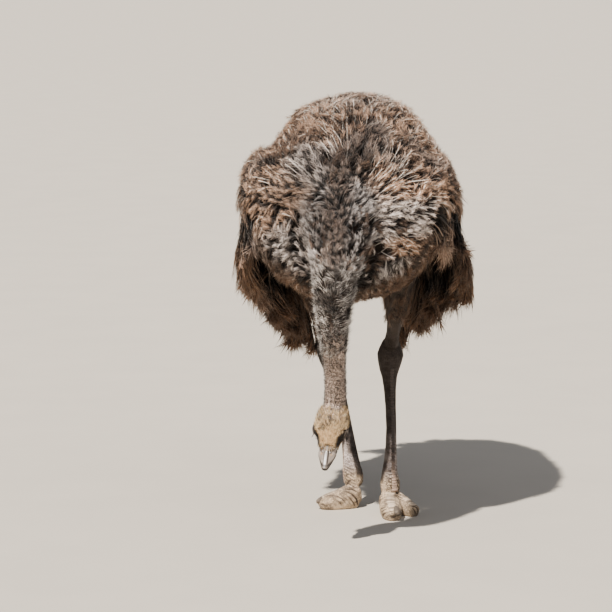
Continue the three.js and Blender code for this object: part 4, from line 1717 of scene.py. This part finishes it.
@dataclass
class NeckCover:
    """The down of the neck and the bristles of the head."""

    head: HeadPlace
    markings: Markings
    effects: Effects
    lid_opening: float
    NODES = ("neck_lower", "neck_middle", "neck_upper", "head", "eye_left", "eye_right", "bill_upper")

    def lie(self, place: Vector) -> Vector:
        """From the bill back over the head and up the neck to the trunk."""
        return -self.head.ahead.lerp(Vector((0.0, 0.0, -1.0)), blend(0.36, 0.42, place.z))

    @staticmethod
    def middle(points: Array) -> Array:
        """The neck's own line beside each place."""
        heights = [0.28, 0.40, 0.50, 0.60, 0.70, 0.80]
        y = np.interp(points[:, 2], heights, [-0.58, -0.52, -0.57, -0.625, -0.655, -0.655])
        return np.stack([np.full(len(points), -0.065), y, points[:, 2]], 1)

    def unroll(self, points: Array) -> Array:
        """The unwrapped places on neck and head."""
        return unwrapped(points, self.middle, 2)

    def on_head(self, places: Array, chance: Array) -> tuple[Array, Array]:
        """Which places have bristles: off the eyes, behind the bill, and thinning out at both ends.

        Args:
            places: the places.
            chance: for each of them a random number from 0 to 1.

        Returns:
            True for each place on the crown, and on the face, where the bristles are shorter.
        """
        x, _, z = (self.head.local(places) * 1000.0).T
        behind = places - 0.010 * self.head.axes[2]
        near = np.minimum(self.head.eye_angles(places), self.head.eye_angles(behind))
        edge = 67.0 - 0.020 * x * x + 2.4 * np.sin(1.1 * x) - 11.0 * chance**2
        on = (places[:, 2] < 0.352 + 0.045 * chance) & (near > self.lid_opening + 0.06) & (z < edge)
        crown = on & (z < -8.0 + 30.0 * chance) & (self.head.shade(places) < 0.25 + 0.7 * chance)
        return crown, on & (z > -16.0 + 30.0 * chance)

    def build(self) -> None:
        """Covers neck and head."""
        lay = Lay(Surface(self.NODES, 0.0042), self.lie, self.unroll, self.markings, self.effects)
        rng = default_rng(17)
        ragged = lambda places, low, high: low + (high - low) * rng.random(len(places))
        neck = lambda places: (places[:, 2] > ragged(places, 0.54, 0.63)) & (places[:, 2] < 0.82)
        throat = lambda places: (places[:, 2] > ragged(places, 0.345, 0.395)) & (places[:, 2] < 0.63)
        crown = lambda places: self.on_head(places, rng.random(len(places)))[0]
        face = lambda places: self.on_head(places, rng.random(len(places)))[1]
        parts = (
            ("down_neck", DOWN_COAT, neck),
            ("down_throat", FUZZ_COAT, throat),
            ("bristles_crown", CROWN_COAT, crown),
            ("bristles_face", BRISTLE_COAT, face),
        )
        for name, coat, wanted in parts:
            roots = lay.surface.scatter(coat.spacing, wanted, rng)
            lay.build(coat, roots, np.full(len(roots[0]), name))


# Head


@dataclass
class Head:
    """Eyes, lids, lashes, lips and bill."""

    place: HeadPlace
    skin: Skin
    effects: Effects
    bill_cell: float = 0.0014
    mouth_lift: float = -0.017
    gape: Pair = (0.017, 0.050)
    LID_STEPS = 40
    LASHES = 40

    def eyeball(self, side: str, way: int) -> Object:
        """One eye: a ball with a bulging front."""
        centre = self.place.eyes[side]
        low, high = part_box(f"eye_{side}")
        radius = (high - low).x / 2 - 0.0002
        gaze = self.place.gaze(way)
        turn = gaze.to_track_quat("Z", "Y").to_matrix().to_4x4()
        bm = bmesh.new()
        bmesh.ops.create_uvsphere(bm, u_segments=48, v_segments=32, radius=radius)
        angles = []
        for vert in bm.verts:
            angle = vert.co.angle(UP)
            around = math.atan2(vert.co.y, vert.co.x)
            angles.append((angle, 0.0, around))
            vert.co *= 1.0 + 0.035 * max(0.0, 1.0 - (angle / 0.55) ** 2)
        bmesh.ops.transform(bm, matrix=Matrix.Translation(centre) @ turn, verts=bm.verts)
        piece = link_piece(f"eyeball_{side}", bm)
        paint(piece.data, "gaze", np.array(angles))
        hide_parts(f"eye_{side}")
        return finish_piece(piece, EYE.material(self.effects))

    def rim(self, side: str, way: int, turn: float, out: float, open_by: float = 0.0) -> Vector:
        """A place on the lids' edge, by its turn about the gaze."""
        gaze = self.place.gaze(way)
        across = (self.place.ahead - gaze * self.place.ahead.dot(gaze)).normalized()
        up = gaze.cross(across) * way
        half = self.skin.lid_opening * (0.90 + 0.16 * math.cos(2 * turn)) + open_by
        ray = gaze * math.cos(half) + (across * math.cos(turn) + up * math.sin(turn)) * math.sin(half)
        low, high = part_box(f"eye_{side}")
        return self.place.eyes[side] + ray * ((high - low).x / 2 + out)

    def lids(self, side: str, way: int) -> Object:
        """The rims of both lids, and the fold above the upper one."""
        bm = bmesh.new()
        turns = [2 * math.pi * i / self.LID_STEPS for i in range(self.LID_STEPS)]
        centre = self.place.eyes[side]
        for open_by, thick, share in ((0.0, 0.0021, 1.0), (0.24, 0.0017, 0.8)):
            rings = []
            points = [self.rim(side, way, turn, 0.0006, open_by) for turn in turns]
            for i, (point, turn) in enumerate(zip(points, turns)):
                along = (points[(i + 1) % self.LID_STEPS] - points[i - 1]).normalized()
                out = (point - centre).normalized()
                axes = Matrix((along.cross(out), out, along)).transposed().to_4x4()
                upper = 0.75 + 0.45 * max(0.0, math.sin(turn))
                rings.append((Matrix.Translation(point) @ axes, 1.25 * thick * upper, thick * upper * share))
            loft(bm, rings, 10, closed=True)
        piece = link_piece(f"lids_{side}", bm)
        return finish_piece(piece, LID.material(self.effects))

    def lashes(self, side: str, way: int) -> Object:
        """Long dark bristles along the upper lid."""
        bm = bmesh.new()
        rng = default_rng(31 + way)
        for i in range(self.LASHES):
            turn = math.pi * (0.02 + 0.96 * (i + rng.uniform(0, 0.6)) / self.LASHES)
            root = self.rim(side, way, turn, 0.0016)
            out = (root - self.place.eyes[side]).normalized()
            fan = self.place.ahead * (0.25 + 0.8 * math.cos(turn)) - self.place.crown * 0.1
            tip = root + (out * 0.8 + fan).normalized() * rng.uniform(0.011, 0.017)
            Pattern.strand(bm, root, tip, 0.0006)
        piece = link_piece(f"lashes_{side}", bm)
        for name in ("lay", "marking"):
            paint(piece.data, name, np.zeros((len(piece.data.vertices), 3)))
        return finish_piece(piece, LASH.material(self.effects))

    def on_head(self, surface: Surface, way: int, lift: float, ahead: float) -> tuple[Vector, Vector]:
        """The head's outside at one side, at a lift and a distance ahead."""
        start = self.place.point(way * 0.09, lift, ahead)
        return surface.inward(start, -self.place.left * way)

    def lips(self, surface: Surface) -> Object:
        """The fleshy edges of the mouth behind the horn, two on each side."""
        bm = bmesh.new()
        for way in SIDES.values():
            for rise in (0.0017, -0.0017):
                shares = np.linspace(0, 1, 12)
                points = []
                for share in shares:
                    ahead = self.gape[0] + (self.gape[1] - self.gape[0]) * share
                    lift = self.mouth_lift + rise * min(1.0, 4 * share + 0.1) + 0.002 * (1 - share) ** 2
                    points.append(self.on_head(surface, way, lift, ahead)[0])
                places = along_points(points, self.place.crown)
                widths = [0.0016 * math.sin(math.pi * (0.12 + 0.76 * share)) ** 0.5 for share in shares]
                loft(bm, [(place, width, 1.3 * width) for place, width in zip(places, widths)], 8)
        return finish_piece(link_piece("lips", bm), LIP.material(self.effects))

    def bill(self, half: str) -> Object:
        """One half of the bill, with its ridge, grooves and nail."""
        piece = link_piece(f"horn_{half}", merged_copy(f"bill_{half}"))
        remesh(piece, self.bill_cell, rounds=4)
        points, normals = points_of(piece.data), normals_of(piece.data)
        x, y, z = (self.place.local(points) * 1000.0).T
        is_upper = half == "upper"
        ridge = ramp(6.0, 2.0, np.abs(x)) * ramp(44.0, 60.0, z)
        ridge *= ramp(-14.0, -6.0, y) * is_upper
        groove = ramp(3.0, 0.5, np.abs(np.abs(x) - 8.5 + 0.05 * (z - 60)))
        groove = groove * ramp(56.0, 66.0, z) * ramp(104.0, 94.0, z)
        groove *= ramp(-15.0, -10.0, y) * is_upper
        nail = ramp(96.0, 104.0, z)
        tucked = ramp(68.0, 60.0, z) * is_upper
        points += normals * (0.0012 * ridge - 0.0009 * groove + 0.0006 * nail - 0.0036 * tucked)[:, None]
        move_points(piece.data, points)
        out = np.abs(x) - 14.5
        hole = np.hypot(np.hypot((out + 0.35 * (z - 63.0)) / 4.2, (y + 3.0) / 7.0), (z - 63.0) / 8.0)
        lower = np.hypot(np.hypot(out / 5.0, (y + 4.0) / 8.0), (z - 71.0) / 8.5)
        # Paler ridge: partly worn horn, partly a painted highlight.
        culmen_wear_and_highlight = ramp(4.2, 1.8, np.abs(x + 0.8)) * (0.35 + 0.65 * ramp(64.0, 90.0, z))
        culmen_wear_and_highlight *= ramp(111.0, 106.0, z) * is_upper
        shaded = ramp(3.2, 1.2, np.abs(x - 6.2))
        shaded = np.maximum(shaded, 0.5 * ramp(2.0, 0.8, np.abs(x + 5.6)))
        shaded *= 0.8 * ramp(54.0, 62.0, z) * is_upper
        edge = np.full(len(x), 0.85)
        if is_upper:
            edge = ramp(-12.5, -15.5, y) * ramp(112.0, 100.0, z) * 0.9
        # The dark nail at the tip is the horn's colour; the rest is painted shade: in the nostrils, along
        # the mouth's edge, on the lower half and beside the ridge.
        tip = ramp(108.0, 112.0, z)
        dark = np.max([ramp(1.0, 0.72, hole), tip, edge, shaded * (1 - nail)], 0)
        warm = 0.6 * ramp(1.0, 0.3, lower) * is_upper
        paint(piece.data, "horn", np.stack([dark, culmen_wear_and_highlight * (1 - dark), warm], 1))
        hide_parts(f"bill_{half}")
        return finish_piece(piece, self.horn)

    def build(self) -> None:
        """Makes everything on the head but its skin and bristles."""
        self.horn = BILL_HORN.material(self.effects)
        surface = Surface(("head", "bill_upper", "bill_lower"), 0.003, 2)
        for side, way in SIDES.items():
            self.eyeball(side, way)
            self.lids(side, way)
            self.lashes(side, way)
        self.lips(surface)
        for half in ("upper", "lower"):
            self.bill(half)


# Legs


@dataclass
class Feet:
    """The horny plates on shanks and toes, and the claws."""

    effects: Effects
    plate_step: float = 0.0080
    plate_half: float = 0.0056
    ankle_half: float = 0.0092
    top: float = 0.43
    raised: float = 0.0013
    claw_worn: float = 0.36  # how much of a claw's length is blunted away
    claw_cell: float = 0.0014

    def plate(
        self,
        bm: BMesh,
        surface: Surface,
        at: Vector,
        axes: tuple[Vector, Vector],
        half: Pair,
        tone: float,
    ) -> None:
        """Adds one rounded plate that hugs a limb, its lower edge raised over the next.

        Args:
            bm: the mesh that the plate is added to.
            surface: the limb's outside.
            at: a place on the limb, under the plate's middle.
            axes: the way to the next plate and the way out of the limb.
            half: the plate's half width and half length.
            tone: how pale it is.
        """
        down, out = axes
        side = down.cross(out).normalized()
        made = bmesh.ops.create_grid(bm, x_segments=5, y_segments=3, size=1.0)["verts"]
        faces = {face for vert in made for face in vert.link_faces}
        for vert in made:
            u, v = vert.co.x, vert.co.y
            across = side * u * half[0] * (1.0 - 0.18 * abs(v) ** 3)
            along = down * v * half[1] * (1.0 - 0.25 * abs(u) ** 3)
            place, normal = surface.nearest(at + across + along - out * 0.5 * half[0] * u * u)
            edge = max(abs(u), abs(v)) ** 6
            vert.co = place + normal * self.raised * (0.35 + 0.325 * (v + 1)) * (1 - 0.6 * edge)
            vert[bm.verts.layers.float["tone"]] = tone
        bmesh.ops.recalc_face_normals(bm, faces=list(faces))
        bmesh.ops.solidify(bm, geom=list(faces), thickness=0.0016)

    @staticmethod
    def toned() -> BMesh:
        """An empty mesh that keeps a tone for each point."""
        bm = bmesh.new()
        bm.verts.layers.float.new("tone")
        return bm

    @staticmethod
    def middle(node: str) -> Vector:
        """The middle of a node's box."""
        low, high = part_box(node)
        return (low + high) / 2

    def front(self, side: str, ankle: Vector) -> Vector:
        """The level way that the front of a shank faces, between its two toes."""
        ways = [self.middle(f"toe_{toe}_{side}") - ankle for toe in ("main", "outer")]
        for way in ways:
            way.z = 0.0
            way.normalize()
        return (ways[0] + 0.8 * ways[1]).normalized()

    def shank_plates(self, side: str, rng: Generator) -> Object:
        """The row of plates down the front of one shank."""
        surface = Surface((f"shank_{side}",), 0.004)
        points = surface.points
        bm = self.toned()
        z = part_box(f"shank_{side}")[0].z + 0.020
        while z < self.top:
            ring = points[np.abs(points[:, 2] - z) < 0.006]
            centre = Vector((*ring.mean(0)[:2], z))
            front = self.front(side, centre)
            found = surface.inward(centre + front * 0.09, -front)
            if found:
                half = self.plate_half + (self.ankle_half - self.plate_half) * blend(0.15, 0.08, z)
                half *= rng.uniform(0.85, 1.1)
                # Paler below 0.10–0.22 m: partly the plates' colour, partly painted shade where her body's
                # shadow falls higher up.
                tone = 0.06 + 0.60 * blend(0.22, 0.10, z) + 0.24 * rng.random()
                self.plate(bm, surface, found[0], (-UP, front), (half, 0.6 * self.plate_step), tone)
            z += self.plate_step
        return finish_piece(link_piece(f"scutes_shank_{side}", bm), self.scute)

    def toe_plates(self, side: str, toe: str, rng: Generator) -> Object:
        """The plates over one toe."""
        surface = Surface((f"toe_{toe}_{side}",), 0.0035, 2)
        points = surface.points
        middle = points.mean(0)
        _, _, axes = np.linalg.svd(points[:, :2] - middle[:2], full_matrices=False)
        way = Vector((*axes[0], 0.0))
        if way.dot(Vector(middle) - self.middle(f"shank_{side}")) < 0:
            way = -way
        runs = (points - middle) @ np.array(way)
        bm = self.toned()
        run = runs.min() + 0.25 * np.ptp(runs)
        while run < runs.max() - 0.010:
            near = points[np.abs(runs - run) < 0.006]
            half = 0.22 * np.ptp(near @ np.array(way.cross(UP)))
            centre = near.mean(0)
            found = surface.inward(Vector((centre[0], centre[1], near[:, 2].max() + 0.03)), -UP)
            if found:
                down = (way - found[1] * way.dot(found[1])).normalized()
                size = (half, 0.6 * self.plate_step)
                self.plate(bm, surface, found[0], (down, found[1]), size, rng.random())
            run += self.plate_step
        return finish_piece(link_piece(f"scutes_{toe}_{side}", bm), self.toe_scute)

    def claw(self, side: str) -> Object:
        """One claw."""
        piece = link_piece(f"nail_{side}", merged_copy(f"claw_{side}"))
        remesh(piece, self.claw_cell, rounds=6)
        points = points_of(piece.data)
        tip = ramp(0.03, 0.008, points[:, 2])
        root = points[np.argmax(points[:, 2])]
        far = np.linalg.norm(points - root, axis=1)
        points += (root - points) * (self.claw_worn * ramp(0.4 * far.max(), far.max(), far))[:, None]
        move_points(piece.data, points)
        none = np.zeros(len(points))
        paint(piece.data, "horn", np.stack([0.5 * tip, none, none], 1))
        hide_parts(f"claw_{side}")
        return finish_piece(piece, self.horn)

    def build(self) -> None:
        """Makes plates and claws."""
        self.scute = SCUTE.material(self.effects)
        self.toe_scute = TOE_SCUTE.material(self.effects)
        self.horn = CLAW_HORN.material(self.effects)
        rng = default_rng(41)
        for side in SIDES:
            self.shank_plates(side, rng)
            self.toe_plates(side, "main", rng)
            self.toe_plates(side, "outer", rng)
            self.claw(side)


# Studio


@dataclass
class Studio:
    """A plain pale floor, a soft sun from her upper right front, and the camera."""

    camera_place: Way = (-0.1415, -8.0928, 1.6)
    camera_down: float = math.radians(6.94)
    lens: float = 160.9
    sun_way: Way = (0.38, 0.67, -1.0)
    sun_power: float = 5.9
    sun_spread: float = 0.022
    sun_colour: Colour = (1.0, 0.95, 0.88)
    sky_way: Way = (-0.35, 0.7, -0.7)
    sky_power: float = 0.45
    sky_colour: Colour = (0.90, 0.94, 1.0)
    air_colour: Colour = (0.90, 0.93, 1.0)
    air_power: float = 0.29
    floor_colour: Colour = (0.60, 0.55, 0.48)
    floor_half: float = 400.0

    def floor(self) -> None:
        """A wide floor with a soft grain."""
        bm = bmesh.new()
        bmesh.ops.create_grid(bm, x_segments=2, y_segments=2, size=self.floor_half)
        floor = link_piece("floor", bm)
        material, wires, shader = new_material("Floor", 0.9)
        grain = wires.noise(wires.place(), 3.0, 4.0)
        darker = tuple(0.9 * share for share in self.floor_colour)
        wires.feed(shader.inputs["Base Color"], wires.mix(grain, self.floor_colour, darker))
        floor.data.materials.append(material)

    def sun(self, name: str, way: Way, power: float, spread: float, colour: Colour) -> None:
        """One light from far away.

        Args:
            name: its name.
            way: which way its light goes.
            power: its strength.
            spread: its width in radians, which softens its shadows.
            colour: its colour.
        """
        data = bpy.data.lights.new(name, "SUN")
        data.energy = power
        data.angle = spread
        data.color = colour
        new_object(name, data).rotation_euler = Vector(way).to_track_quat("-Z", "Y").to_euler()

    def build(self) -> None:
        """Sets up floor, lights, surroundings and camera."""
        self.floor()
        self.sun("key", self.sun_way, self.sun_power, self.sun_spread, self.sun_colour)
        self.sun("fill", self.sky_way, self.sky_power, 1.0, self.sky_colour)
        world = bpy.data.worlds.new("surroundings")
        world.use_nodes = True
        background = world.node_tree.nodes["Background"]
        background.inputs["Color"].default_value = (*self.air_colour, 1.0)
        background.inputs["Strength"].default_value = self.air_power
        scene = bpy.context.scene
        scene.world = world
        scene.view_settings.look = "AgX - Medium High Contrast"
        data = bpy.data.cameras.new("camera")
        data.lens = self.lens
        data.sensor_width = 36.0
        camera = new_object("camera", data)
        camera.location = self.camera_place
        camera.rotation_euler = (math.pi / 2 - self.camera_down, 0.0, 0.0)
        scene.camera = camera


def main() -> None:
    """Builds her and the studio."""
    logging.basicConfig(level=logging.INFO, format="%(message)s")
    Studio().build()
    effects = Effects()
    head_place = HeadPlace()
    markings = Markings(head_place)
    skin = Skin(head_place)
    skin.build(effects)
    Head(head_place, skin, effects).build()
    Feet(effects).build()
    Plumage(markings, effects).build()
    NeckCover(head_place, markings, effects, skin.lid_opening).build()


if __name__ == "__main__":
    main()
